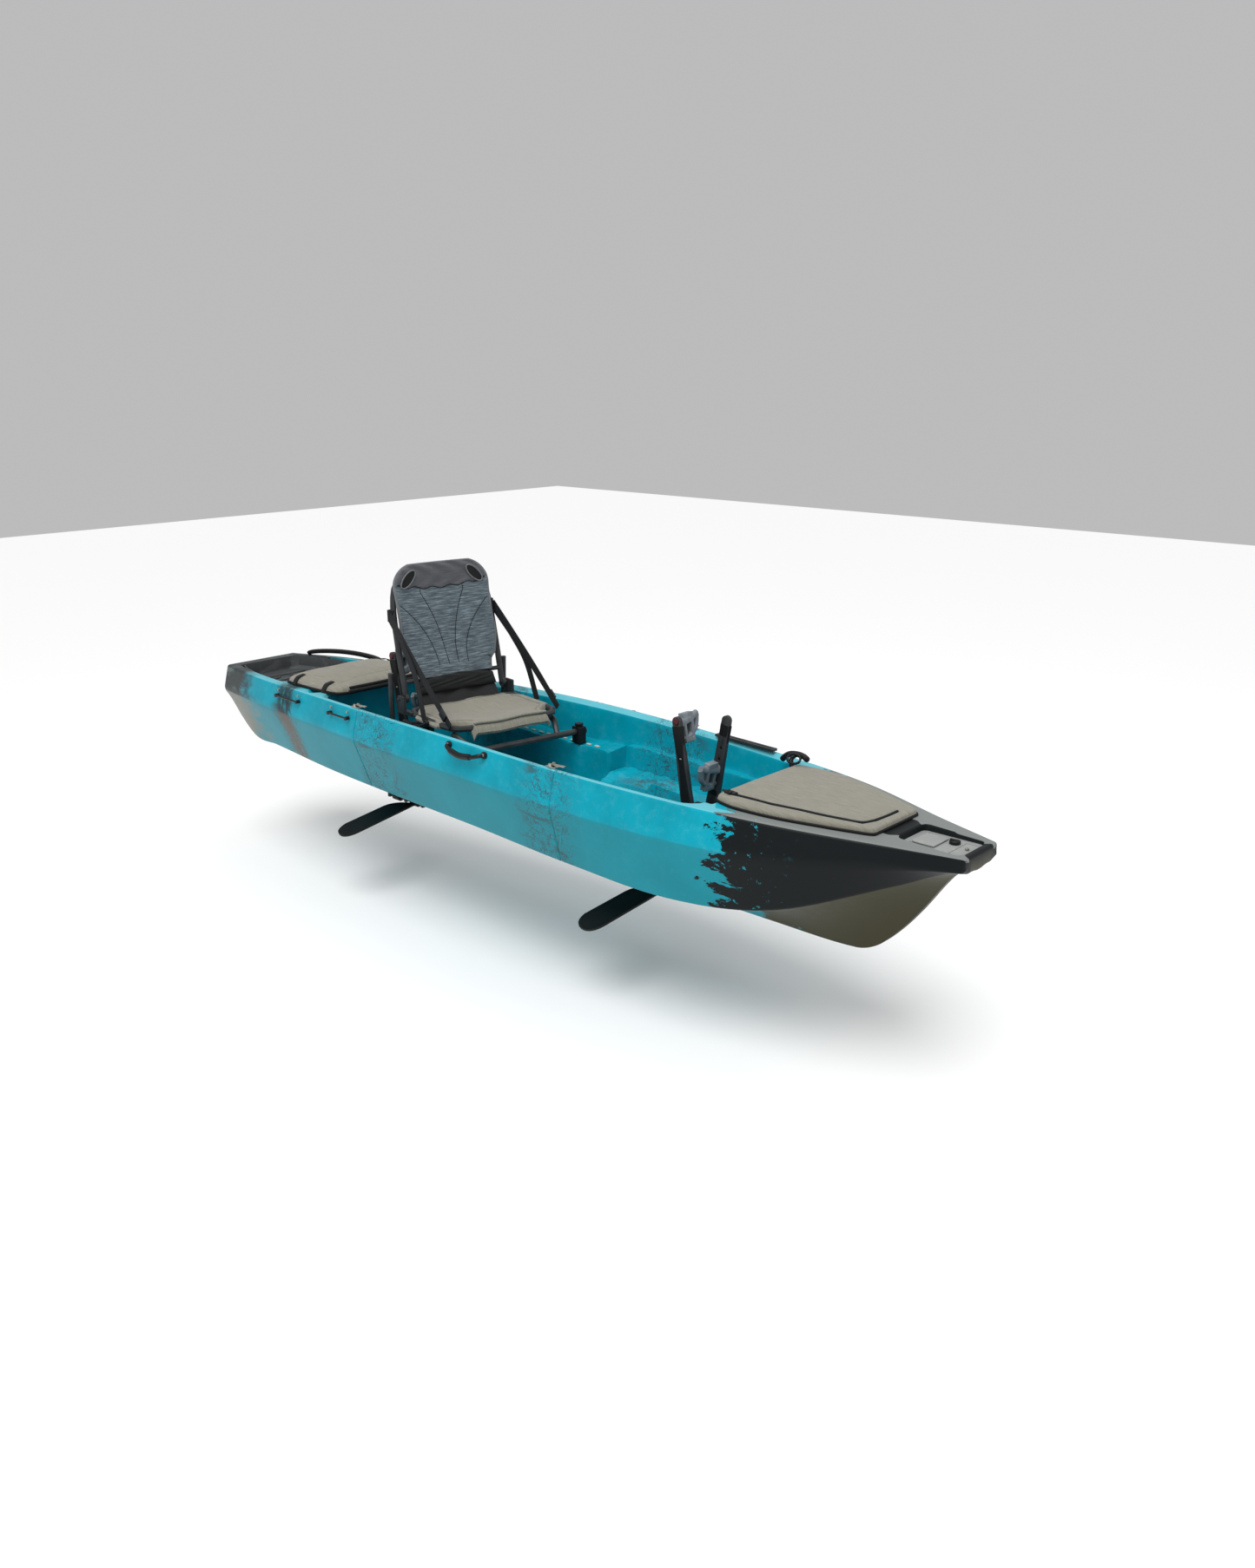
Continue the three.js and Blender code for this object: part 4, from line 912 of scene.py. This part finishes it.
def makeSeatMesh():
    s = meshSize
    rows, columns = 110, 110
    t = np.linspace(0, 1, rows)[:, None]
    u = np.linspace(-1, 1, columns)[None, :]
    half = s["halfRear"] + s["flare"] * clampSmooth((t - 0.02) / 0.20)
    half = half - s["nip"] * clampSmooth((t - 0.66) / 0.22) ** 0.7
    side = u * half
    wrap = np.clip((np.abs(u) - 0.90) / 0.10, 0, 1)
    roll = np.clip((t - 0.93) / 0.07, 0, 1)
    sag = s["sag"] * (1 - u**2) * np.sin(np.pi * np.clip(t / 0.88, 0, 1))
    height = s["top"] - sag + s["ripple"] * np.sin(30 * side) * (1 - wrap)
    height = height - s["wrapDrop"] * wrap**2 - s["rollDrop"] * roll**2
    forward = s["start"] + s["length"] * t + s["rollOut"] * np.sin(np.pi * roll / 2)
    forward = forward + 0.006 * (1 - u**2) * (t > 0.9)
    top = np.stack(np.broadcast_arrays(forward, side, height), axis=-1)
    tucked = np.broadcast_arrays(0.97 * forward + 0.007, 0.985 * side, height - s["thick"])
    verts, faces = shell(inSeat(top), inSeat(np.stack(tucked, axis=-1)))
    piece = putMesh("seatMesh", verts, faces, khakiMesh, "seat_base", sharp=60, replaced=["seat_cover"],
                    slot="khaki_mesh")
    clothGrid(piece, forward, side)
    # bound edges: a rolled hem along the front and a stitched seam along the other three sides
    edges = [sweepArrays(inSeat(top[-6, 4:-4] + [0.004, 0, 0.004]), circle(s["hem"], 10), up=(0, 0, 1)),
             sweepArrays(inSeat(top[3, 6:-6] + [0, 0, 0.0012]), circle(s["seam"], 6))]
    for k in (9, -10):
        edges.append(sweepArrays(inSeat(top[14:-12, k] + [0, 0, 0.0010]), circle(s["sideSeam"], 6)))
    plane(putParts("seatMeshHem", edges, khakiMesh, "seat_base", slot="khaki_mesh"))
    # dark lashings below the seat mesh, from side to side
    s = lashingSize
    side, dip = np.linspace(-s["half"], s["half"], 30), np.cos(np.linspace(-1.5, 1.5, 30))
    lashings = [sweepArrays(inSeat(np.stack([np.full(30, x), side, s["height"] - s["sag"] * dip], axis=1)),
                            roundedSection(s["width"], 0.0022, 0.001, 2)) for x in s["forward"]]
    plane(putParts("seatLashings", lashings, blackWebbing, "seat_base", slot="black_fabric"))


makeSeatMesh()


# side straps: wide webbing from the back hoop, forking at a buckle to the seat's front and foot

strapSize = {"width": 0.046, "thick": 0.0028, "branch": 0.036, "tail": 0.030, "corner": 0.0012,
             "top": (-0.078, 0.2365, 0.315), "foot": (0.374, 0.244, -0.034), "low": (0.205, 0.259, -0.040),
             "fork": 0.26, "hoop": (-0.082, 0.223, 0.315), "hoopRadius": 0.0165, "buckle": (0.038, 0.007)}


def makeStrap(sideName, sgn):
    s = strapSize
    sided = np.array([1, sgn, 1])
    topPoint, foot, low = [np.array(s[k]) * sided for k in ("top", "foot", "low")]
    fork = topPoint * (1 - s["fork"]) + foot * s["fork"] + [0, 0.004 * sgn, 0]
    across = np.array([0.60, 0, 0.80])

    def flat(width):  # webbing's section, its width along the sweep's side
        return roundedSection(width, s["thick"], s["corner"], 2)[:, ::-1]
    # the main band, widest at the hoop, runs to the front of the seat; its branch leaves it at the fork
    path = smoothPath([topPoint, fork, fork * 0.5 + foot * 0.5 + [0, 0.002 * sgn, 0.003], foot], 60)
    narrowing = np.stack([np.ones(60), np.linspace(1, s["tail"] / s["width"], 60)], axis=1)
    main = sweepArrays(inSeat(path), flat(s["width"]), up=seatTurn @ across, scale=narrowing)
    bend = fork * 0.55 + low * 0.45 + [0.022, 0.002 * sgn, 0.010]
    branchPath = smoothPath([fork + [-0.012, 0.002 * sgn, 0.004], bend, low], 40)
    branch = sweepArrays(inSeat(branchPath), flat(s["branch"]), up=seatTurn @ np.array([0.9, 0, 0.35]))
    a = np.linspace(0, 2 * np.pi, 26)
    hoop = np.array(s["hoop"]) * sided
    loop = hoop + s["hoopRadius"] * np.stack([np.cos(a), np.sin(a), np.zeros(26)], axis=1)
    wrap = sweepArrays(inSeat(loop), roundedSection(0.0026, s["width"], s["corner"], 2), up=(0, 0, 1))
    mesh = putParts("sideStrap_" + sideName, [main, branch, wrap], blackWebbing, None,
                    replaced=["side_strap_" + sideName], slot="black_fabric")
    plane(mesh)
    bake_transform(mesh)
    # ladder buckle where the band is drawn tight at the foot
    v, f = sweepArrays(inSeat(path[-9:-4] + [0, 0.003 * sgn, 0]),
                       roundedSection(*s["buckle"], 0.003, 3)[:, ::-1], up=seatTurn @ across)
    putMesh("strapBuckle_" + sideName, v, f, blackNylon, "seat_base", slot="black_plastic")


makeStrap("starboard", -1)
makeStrap("port", 1)
print("seat fabrics made")


# hatch covers

def coverGrid(outline, rise, crown, power, wrinkle):
    # a stretched fabric cover: superellipse edge all round, a low crown and faint pull lines
    rows, columns = 110, 150
    outline = np.array(outline)
    t = 0.5 - 0.5 * np.cos(np.linspace(0, np.pi, rows))[:, None]
    x = outline[0, 0] + (outline[-1, 0] - outline[0, 0]) * t
    half = through(outline[:, 0], outline[:, 1], x)
    u = np.sin(np.linspace(-1, 1, columns) * np.pi / 2)[None, :]
    y = half * u
    endFade = 1 - np.abs(2 * t - 1) ** (power * 2.2)
    edge = np.maximum((1 - np.abs(u) ** power) * endFade, 0) ** 0.35
    deck = hullAt("sheer", x.ravel())[:, 1].reshape(x.shape)
    soft = wrinkle * (np.sin(31 * x + 17 * y) + 0.7 * np.sin(-23 * x + 41 * y + 2.0))
    z = deck + 0.0015 + edge * (rise + crown * (1 - u**2) * (1 - (2 * t - 1) ** 2)) + soft * edge
    return np.broadcast_arrays(x, y, z, deck)


def makeCover(name, node, outline, rise, crown, power, wrinkle, shape):
    x, y, z, deck = coverGrid(outline, rise, crown, power, wrinkle)
    z = z + shape(x, y)
    verts, faces = shell(np.stack([x, y, z], axis=2), np.stack([x, y, deck - 0.001], axis=2))
    piece = putMesh(name, verts, faces, khakiMesh, "hull", sharp=60, replaced=[node], slot="khaki_mesh")
    plane(piece)
    return x, y, z


# half outlines in plan, from aft to forward: along the boat, half-breadth
frontOutline = [[1.062, .206], [1.075, .224], [1.10, .234], [1.16, .243], [1.30, .226], [1.45, .180],
                [1.56, .139], [1.582, .128], [1.590, .118]]
rearOutline = [[-1.284, .222], [-1.262, .242], [-1.150, .252], [-.990, .256], [-.925, .250], [-.900, .236],
               [-.885, .200]]


def groove(x, y, line, width, depth):  # a dent along a polyline in plan
    a, b = np.asarray(line[:-1])[:, None, None], np.asarray(line[1:])[:, None, None]
    ab = b - a
    px, py = x[None] - a[..., 0], y[None] - a[..., 1]
    t = np.clip((px * ab[..., 0] + py * ab[..., 1]) / (ab[..., 0] ** 2 + ab[..., 1] ** 2), 0, 1)
    d = np.sqrt((px - t * ab[..., 0]) ** 2 + (py - t * ab[..., 1]) ** 2).min(axis=0)
    return -depth * np.exp(-((d / width) ** 2))


cordLine = [(1.085, -.186), (1.25, -.176), (1.40, -.148), (1.535, -.108), (1.552, -.060), (1.556, .060)]
fx, fy, fz = makeCover("frontHatchCover", "front_hatch_cover", frontOutline, 0.021, 0.006, 34, 0.0004,
                       lambda x, y: groove(x, y, cordLine, 0.008, 0.005))
seamLines = [[(-.95, -.24), (-.95, .24)], [(-1.27, -.20), (-.90, -.20)], [(-1.27, .20), (-.90, .20)]]
makeCover("rearHatchCover", "rear_hatch_cover", rearOutline, 0.032, 0.030, 9, 0.0012,
          lambda x, y: groove(x, y, seamLines[0], 0.006, 0.004)
          + sum(groove(x, y, line, 0.005, 0.003) for line in seamLines[1:]))


def coverPoint(x, y, lift):  # a point a little above the front cover
    x, y = np.asarray(x, float), np.asarray(y, float)
    near = (fx[None] - x[:, None, None]) ** 2 + (fy[None] - y[:, None, None]) ** 2
    return np.stack([x, y, fz.ravel()[near.reshape(len(x), -1).argmin(axis=1)] + lift], axis=1)


cordSize = {"radius": 0.0042, "lift": 0.0032, "points": 120, "smoothing": 7}
cordXY = smoothPath([(a, b, 0.0) for a, b in cordLine], cordSize["points"])
cordPath = coverPoint(cordXY[:, 0], cordXY[:, 1], cordSize["lift"])
kernel = np.ones(cordSize["smoothing"]) / cordSize["smoothing"]
cordPath[3:-3, 2] = np.convolve(cordPath[:, 2], kernel, "valid")
v, f = sweepArrays(cordPath, circle(cordSize["radius"], 12))
putMesh("frontCoverCord", v, f, stitching, "hull", replaced=["front_cover_cord"], slot="black_cord")


def makeBinding(name, outline, lift, widen, width, height):
    # dark binding round a cover's foot, where it grips the coaming: its outline, a little wider
    half = np.array(outline)
    rim = np.concatenate([half * [1, -1], half[::-1]])
    path = smoothPath(np.concatenate([rim, np.zeros((len(rim), 1))], axis=1), 300)
    path[:, 2] = hullAt("sheer", path[:, 0])[:, 1] + lift
    path[:, 1] *= widen
    v, f = sweepArrays(path, roundedSection(width, height, 0.003, 3))
    putMesh(name, v, f, rubber, "hull", slot="black_cord")


makeBinding("frontCoverBinding", frontOutline, 0.004, 1.015, 0.007, 0.010)
makeBinding("rearCoverBinding", rearOutline, 0.005, 1.012, 0.008, 0.012)
# two-tier black rim at the rear cover's front edge
tiers = []
for back, lift, reach in ((-.884, 0.010, 0.205), (-.889, 0.024, 0.198)):
    yy = np.linspace(-reach, reach, 80)
    bow = back + 0.004 * (1 - (yy / reach) ** 2)
    tiers.append(sweepArrays(np.stack([bow, yy, hullAt("sheer", bow)[:, 1] + lift], axis=1),
                             roundedSection(0.010, 0.012, 0.004, 3)))
plane(putParts("rearCoverRim", tiers, darkFabric, "hull", slot="black_fabric"))
# cord lock
lockAt = coverPoint([1.100], [-.187], 0.006)[0]
barrel = sweepArrays(np.array([lockAt - [0.022, 0, 0.001], lockAt, lockAt + [0.020, 0.001, 0]]),
                     roundedSection(0.022, 0.016, 0.006, 4), scale=[0.8, 1.0, 0.75])
button = discArrays(lockAt + [0.0, -0.006, 0.004], (0, -0.8, 0.6), 0.008, 0.010)
ears = tubeArrays([lockAt + [-0.02, 0, 0], lockAt + [-0.040, 0.006, 0.002], lockAt + [-0.026, 0.014, 0]],
                  0.0028, 8, 20)
putParts("cordLock", [barrel, button, ears], blackNylon, "hull", replaced=["cord_lock"], slot="black_plastic")
# each strap's path as steps out from the cover's edge and above the deck
holdDown = {"x": (-1.20, -0.985), "width": 0.024,
            "steps": ((0.010, 0.004), (0.003, 0.018), (-0.012, 0.034), (-0.045, 0.0405))}
straps = []
rear = np.array(rearOutline)
for sgn in (-1, 1):
    for x in holdDown["x"]:
        half = float(through(rear[:, 0], rear[:, 1], np.array([x]))[0])
        deck = float(hullAt("sheer", np.array([x]))[0, 1])
        path = smoothPath([[x, sgn * (half + out), deck + lift] for out, lift in holdDown["steps"]], 24)
        straps.append(sweepArrays(path, roundedSection(holdDown["width"], 0.0025, 0.001, 2),
                                  up=(0, 0.2 * sgn, 1)))
plane(putParts("rearCoverStraps", straps, blackWebbing, "hull", slot="black_fabric"))
print("covers made")


# moulded fittings

def soften(nodeName, width, segments=2, angle=30):  # weld the loose triangles, then round the edges
    piece = nodes[nodeName]
    weld = piece.modifiers.new("weld", "WELD")
    weld.merge_threshold = 0.00005
    bevel = piece.modifiers.new("bevel", "BEVEL")
    bevel.width, bevel.segments, bevel.limit_method = width, segments, "ANGLE"
    bevel.angle_limit = math.radians(angle)
    bevel.harden_normals = False
    piece.data.polygons.foreach_set("use_smooth", np.ones(len(piece.data.polygons), bool))


softWidth = {"bow_tray": .0015, "tray_lid": .001, "tray_knob": .001, "floor_hatch": .0015, "tank_liner": .002,
             "bow_drive_housing": .002, "stern_drive_housing": .002, "gear_track_port": .0006}
smallParts = ("pedal", "arm_", "latch", "clamp", "foot_s", "foot_p", "lock_cam")
softWidth.update({n: 0.0009 for n in nodes if any(k in n for k in smallParts)})
for nodeName, width in softWidth.items():
    soften(nodeName, width)


def boltHeads(name, places, radius, height, material, body, slotName, axis=(0, 0, 1)):
    heads = [discArrays(p, axis, radius, height, 20, 0.3) for p in places]
    putParts(name, heads, material, body, slot=slotName)


def sidePoint(x, out, drop, sgn):  # a point off the topsides, below the gunwale
    sheer, knuckle = hullAt("sheer", np.array([x]))[0], hullAt("knuckle", np.array([x]))[0]
    down = unit(knuckle - sheer)
    spot = sheer + down * drop
    normal = np.array([-down[1], down[0]])
    normal = normal if normal[0] > 0 else -normal
    spot = spot + normal * out
    return np.array([x, sgn * spot[0], spot[1]]), np.array([0, sgn * normal[0], normal[1]])


# a carry handle's path: along the boat, out from the topsides, below the rim
handlePath = ((-0.036, 0.004, 0.022), (-0.030, 0.020, 0.024), (0.0, 0.030, 0.034), (0.055, 0.032, 0.042),
              (0.115, 0.031, 0.036), (0.150, 0.022, 0.024), (0.156, 0.004, 0.022))


def makeHandle(node, sgn):
    # carry handle: a sagging round grip between two stalks, each with a bright end cap
    p = [sidePoint(x, out, drop, sgn)[0] for x, out, drop in handlePath]
    putParts("grip_" + node, [tubeArrays(p, 0.0075, 16, 60), tubeArrays(p[2:5], 0.0115, 20, 40)], blackNylon,
             "hull", replaced=[node], slot="black_plastic")
    for name, out, radius, height, sides, bevel, material, slot in (
            ("caps_", 0.002, 0.013, 0.010, 24, 0.35, blackNylon, "black_plastic"),
            ("studs_", 0.012, 0.007, 0.003, 20, 0.3, stainless, "stainless")):
        spots = [sidePoint(x, out, 0.020, sgn) for x in (handlePath[0][0], handlePath[-1][0])]
        discs = [discArrays(spot, normal, radius, height, sides, bevel) for spot, normal in spots]
        putParts(name + node, discs, material, "hull", slot=slot)


makeHandle("carry_handle_starboard", -1)
makeHandle("carry_handle_port", 1)
keeperEnds = (-1.242, -1.078, -.812, -.688)
heads = [discArrays(*sidePoint(x, 0.010, 0.018, -1), 0.005, 0.006, 16, 0.3) for x in keeperEnds]
putParts("paddleKeeperBolts", heads, stainless, "hull", slot="stainless")


driveSize = {"bow": 0.725, "stern": -0.806, "axleForward": 0.100, "axleHeight": 0.292, "armOut": 0.062,
             "lean": math.radians(10.0), "flangeX": 0.150, "flangeY": 0.044, "flangeTop": 0.189}
armSize = {"capAlong": 0.328, "marksFrom": 0.20, "markStep": 0.012, "sleeve": (0.050, 0.312),
           "pedalStarboard": 0.325, "pedalPort": 0.155, "footIn": 0.046, "footWidth": 0.040,
           "ribs": (-0.062, -0.046, -0.030, -0.014, 0.002), "ribRadius": 0.0022}


def makeDriveDetail(prefix):
    # maroon caps on the arm axle and the tower foot, and bolts on the flange
    s = driveSize
    x = s[prefix]
    base = np.array([x + s["axleForward"], 0, 0])
    caps = [discArrays(base + [0, sgn * 0.071, s["axleHeight"]], (0, sgn, 0), 0.0165, 0.006, 28, 0.3)
            for sgn in (-1, 1)]
    putParts(prefix + "DriveAxleCaps", caps, maroonNylon, "hull", slot="maroon_plastic")
    path = base + [[-0.052, -0.026, 0.236], [-0.056, -0.026, 0.262], [-0.053, -0.026, 0.288],
                   [-0.048, -0.026, 0.300]]
    v, f = sweepArrays(path, roundedSection(0.026, 0.034, 0.010, 4), up=(1, 0, 0),
                       scale=[0.9, 1.05, 0.95, 0.55])
    putMesh(prefix + "DriveLatch", v, f, maroonNylon, "hull", slot="maroon_plastic")
    places = [(x + a * s["flangeX"], b * s["flangeY"], s["flangeTop"]) for a in (-1, 1) for b in (-1, 1)]
    boltHeads(prefix + "DriveFlangeBolts", places, 0.006, 0.004, stainless, "hull", "stainless")


def makeArmDetail(prefix, sideName, sgn):
    # what each drive arm carries: an end cap, index marks, a moulded sleeve, and its pedal's parts
    s, body = armSize, prefix + "_arm_" + sideName
    lean = sgn * driveSize["lean"]
    axis = np.array([math.sin(lean), 0, math.cos(lean)])
    inward = np.array([0, -sgn, 0])
    axle = np.array([driveSize[prefix] + driveSize["axleForward"], sgn * driveSize["armOut"],
                     driveSize["axleHeight"]])

    def armPoint(along, out):  # a point on the arm at rest: along it from the axle, and outboard
        return axle + axis * along - inward * out

    def put(name, parts, material, slot):
        putParts(prefix + name + "_" + sideName, parts, material, body, slot=slot)
    cap = discArrays(armPoint(s["capAlong"], 0.0072), (0, sgn, 0), 0.0125, 0.006, 24, 0.35)
    put("ArmCap", [cap], maroonNylon, "maroon_plastic")
    marks = []
    for k in range(5):
        p = armPoint(s["marksFrom"] + s["markStep"] * k, 0.0074)
        marks.append(sweepArrays([p + [-0.004, 0, 0], p + [0.004, 0, 0.001]],
                                 roundedSection(0.0008, 0.003, 0.0003, 1)))
    put("ArmMarks", marks, sandFoam, "black_plastic")
    # the sleeve is widest where the pedal's pivot sits: a cosine along the arm
    along = np.linspace(*s["sleeve"], 24)
    sleeve = sweepArrays([armPoint(k, 0.0012) for k in along], roundedSection(0.042, 0.017, 0.006, 4),
                         up=(0, 1, 0), scale=0.86 + 0.14 * np.cos(2 * np.pi * (along - 0.30) / 0.26))
    put("ArmSleeve", [sleeve], rubber, "black_plastic")
    # foot block of the pedal: a rounded tread with a heel cup, on the inboard side
    pedalAlong = s["pedalStarboard"] if sgn < 0 else s["pedalPort"]
    c = armPoint(pedalAlong, -s["footIn"])
    path = smoothPath([c + axis * up - [back, 0, 0] for up, back in
                       ((-0.078, 0), (-0.060, 0.010), (-0.020, 0.014), (0.022, 0.008))], 30)
    tread = sweepArrays(path, roundedSection(s["footWidth"], 0.010, 0.004, 3), up=(-1, 0, 0.1))
    # a curved platform from the arm across to the foot, thinner at its inner end, and a brace below it
    p0 = armPoint(pedalAlong - 0.006, -0.010)
    path = smoothPath([p0 + inward * across + axis * up for across, up in
                       ((0, 0), (0.030, 0.006), (0.066, 0.012), (0.092, 0.022))], 26)
    platform = sweepArrays(path, roundedSection(0.030, 0.034, 0.012, 4), scale=np.linspace(1, 0.62, 26))
    path = smoothPath([p0 + inward * across + axis * up for across, up in
                       ((0, -0.052), (0.040, -0.050), (0.076, -0.026), (0.090, 0.016))], 26)
    brace = sweepArrays(path, roundedSection(0.020, 0.016, 0.007, 4))
    put("PedalTread", [tread, platform, brace], pedalPlastic, "grey_plastic")
    ribs = [sweepArrays([c + axis * h + [-0.0155, -0.018, 0], c + axis * h + [-0.0155, 0.018, 0]],
                        circle(s["ribRadius"], 8)) for h in s["ribs"]]
    put("PedalRibs", ribs, blackNylon, "black_plastic")


for prefix in ("bow", "stern"):
    makeDriveDetail(prefix)
for prefix in ("bow", "stern"):
    makeArmDetail(prefix, "starboard", -1)
    makeArmDetail(prefix, "port", 1)
print("fittings made")


# bow hook, nose recess, tank details

hookZ = float(hullAt("sheer", np.array([0.985]))[0, 1])
hookPath = [(x, y, hookZ + up) for x, y, up in
            ((0.968, .268, .004), (0.985, .266, .022), (1.010, .258, .036), (1.050, .242, .046),
             (1.090, .222, .050), (1.118, .204, .048))]
eyePath = [(1.062 + .026 * math.cos(k), .205 + .010 * math.sin(k), hookZ + .040 + .014 * math.sin(k)) for k in
           np.linspace(0, 2 * math.pi, 20)]
stemPath = [(1.045, .240, hookZ + .044), (1.040, .222, hookZ + .030), (1.050, .212, hookZ + .006)]
hookParts = [tubeArrays(hookPath, 0.0105, 16, 50), tubeArrays(eyePath, 0.0045, 10, 40),
             tubeArrays(stemPath, 0.008, 14, 30)]
putParts("bowHook", hookParts, blackNylon, "hull", replaced=["bow_hook"], slot="black_plastic")
boltHeads("noseBolt", [(1.822, .012, .4035)], 0.0065, 0.004, stainless, "hull", "stainless")
boltHeads("tankRailBolts", [(-1.60, .200, .446), (-1.38, .226, .452)], 0.007, 0.004, stainless, "hull",
          "stainless")
# raised dark rail along the far side of the tank well
railX = np.linspace(-1.74, -1.30, 60)
railY = hullAt("sheer", railX)[:, 0] - 0.020
railZ = hullAt("sheer", railX)[:, 1] + 0.008 + 0.020 * np.sin(np.pi * (railX + 1.74) / 0.44) ** 0.5
v, f = sweepArrays(np.stack([railX, railY, railZ], axis=1), roundedSection(0.022, 0.020, 0.006, 3))
putMesh("tankRail", v, f, blackNylon, "hull", slot="black_plastic")
# moulded crescents on the tank floor
crescents = []
a = np.linspace(-1.1, 1.1, 30)
taper = np.cos(a * 1.2) * 0.8 + 0.25
for x0 in (-1.70, -1.58, -1.46):
    for sgn in (-1, 1):
        path = np.stack([x0 + 0.055 * np.cos(a), sgn * 0.075 + 0.060 * np.sin(a), np.full(30, 0.380)],
                        axis=1)
        crescents.append(sweepArrays(path, roundedSection(0.010, 0.008, 0.003, 3), scale=taper))
putParts("tankCrescents", crescents, greyPolyethylene, "hull", slot="grey_plastic")
# sand-coloured foam pads on the footwell floor and a black clip
pads = [sweepArrays([[x0, (y0 + y1) / 2, .1865], [x1, (y0 + y1) / 2 + .01, .1865]],
                    roundedSection(y1 - y0, 0.006, 0.0025, 3)) for x0, x1, y0, y1 in
        ((0.06, 0.17, -.150, -.085), (0.43, 0.53, -.165, -.100), (0.57, 0.61, 0.07, 0.12))]
putParts("floorPads", pads, sandFoam, "hull", slot="grey_plastic")
clip = [sweepArrays([[0.10, -.105, .1935], [0.17, -.095, .1935]], roundedSection(0.040, 0.009, 0.004, 3)),
        sweepArrays([[0.125, -.128, .199], [0.130, -.070, .199]], roundedSection(0.016, 0.008, 0.003, 3))]
putParts("floorClip", clip, blackNylon, "hull", slot="black_plastic")
plug = tubeArrays([(0.515, -.100, .186), (0.545, -.105, .212), (0.565, -.108, .214)], 0.014, 16, 24)
putParts("drainPlug", [plug], greyPolyethylene, "hull", slot="grey_plastic")
# pale dashes of the slide track beside the seat
dashSize = {"y": .246, "z": .3315, "length": 0.022, "spacing": .045, "starboardFrom": -.30, "portFrom": -.45}
dashes = []
for side, start in ((-dashSize["y"], dashSize["starboardFrom"]), (dashSize["y"], dashSize["portFrom"])):
    for x in np.arange(start, .10, dashSize["spacing"]):
        path = [[x, side, dashSize["z"]], [x + dashSize["length"], side, dashSize["z"]]]
        dashes.append(sweepArrays(path, roundedSection(0.012, 0.003, 0.001, 2)))
putParts("slideTrackDashes", dashes, sandFoam, "hull", slot="grey_plastic")
print("small fittings made")


# finish every shown node

nodeFinish = {"tank_liner": greyPolyethylene, "bow_tray": trayPlastic, "tray_lid": trayPlastic,
              "floor_hatch": greyPolyethylene, "gear_track_port": powderCoat,
              "seat_foot_starboard": footPlastic, "seat_foot_port": footPlastic,
              "bow_lock_cam": maroonNylon, "stern_lock_cam": maroonNylon, "seat_frame": powderCoat,
              "front_leg_frame": powderCoat, "rear_leg_frame": powderCoat, "back_frame": powderCoat}
nodeFinish.update({n: stainless for n in nodes if n.startswith("latch_")})
nodeFinish.update({n: pedalPlastic for n in nodes if "_pedal_" in n})
nodeFinish.update({n: powderCoat for n in nodes if "_arm_" in n})
nodeFinish.update({n: rubber for n in nodes if "_fin_" in n})
for nodeName, piece in nodes.items():
    material = nodeFinish.get(nodeName, blackNylon)
    if not piece.material_slots:
        piece.data.materials.append(material)
    for entry in piece.material_slots:
        entry.material = material

# stage, camera and light

stageSize = {"floorZ": -0.400, "floorHalf": 14.0}
half = stageSize["floorHalf"]
corners = [[x * half, y * half, stageSize["floorZ"]] for x, y in ((-1, -1), (1, -1), (1, 1), (-1, 1))]
floor = putMesh("stageFloor", corners, [[0, 1, 2, 3]], startMaterial("whiteSweptPaper")[0], None)
floorShader = floor.data.materials[0].node_tree.nodes["Principled BSDF"]
floorShader.inputs["Base Color"].default_value = (0.9, 0.9, 0.9, 1)
floorShader.inputs["Roughness"].default_value = 0.9

cameraView = {"place": (3.494, -3.307, 1.764), "lens": 29.90,
              "right": (0.7396, 0.6730, 0.0), "up": (-0.2071, 0.2276, 0.9515),
              "back": (0.6404, -0.7037, 0.3078)}
cameraData = bpy.data.cameras.new("camera")
cameraData.lens = cameraView["lens"]
camera = bpy.data.objects.new("camera", cameraData)
bpy.context.scene.collection.objects.link(camera)
turn = Matrix((cameraView["right"], cameraView["up"], cameraView["back"])).transposed()
camera.matrix_world = Matrix.Translation(cameraView["place"]) @ turn.to_4x4()
bpy.context.scene.camera = camera

lights = {  # place, aimed at, width, watts
    "keySoftbox": ((1.2, -3.6, 3.6), (0.2, 0.0, 0.3), 3.0, 45.0),
    "fillSoftbox": ((4.2, 1.8, 2.6), (0.6, 0.0, 0.3), 2.4, 22.0),
    "topSoftbox": ((-0.4, 0.8, 4.6), (0.0, 0.0, 0.3), 3.0, 30.0)}
for name, (place, aim, width, watts) in lights.items():
    data = bpy.data.lights.new(name, "AREA")
    data.shape = "SQUARE"
    data.size = width
    data.energy = watts
    lamp = bpy.data.objects.new(name, data)
    bpy.context.scene.collection.objects.link(lamp)
    lamp.location = place
    lamp.rotation_mode = "QUATERNION"
    lamp.rotation_quaternion = (Vector(aim) - Vector(place)).to_track_quat("-Z", "Y")
overhead = bpy.data.objects.new("overheadScrim", bpy.data.lights.new("overheadScrim", "SUN"))
overhead.data.energy = 2.0
overhead.data.angle = 0.7
overhead.rotation_mode = "QUATERNION"
overhead.rotation_quaternion = Vector((-0.15, 0.45, -1.0)).to_track_quat("-Z", "Y")
bpy.context.scene.collection.objects.link(overhead)
world = bpy.data.worlds.new("studio")
bpy.context.scene.world = world
world.use_nodes = True
background = world.node_tree.nodes["Background"]
background.inputs["Color"].default_value = (1, 1, 1, 1)
background.inputs["Strength"].default_value = 0.50
bpy.context.scene.view_settings.view_transform = "Standard"

print("stage made")
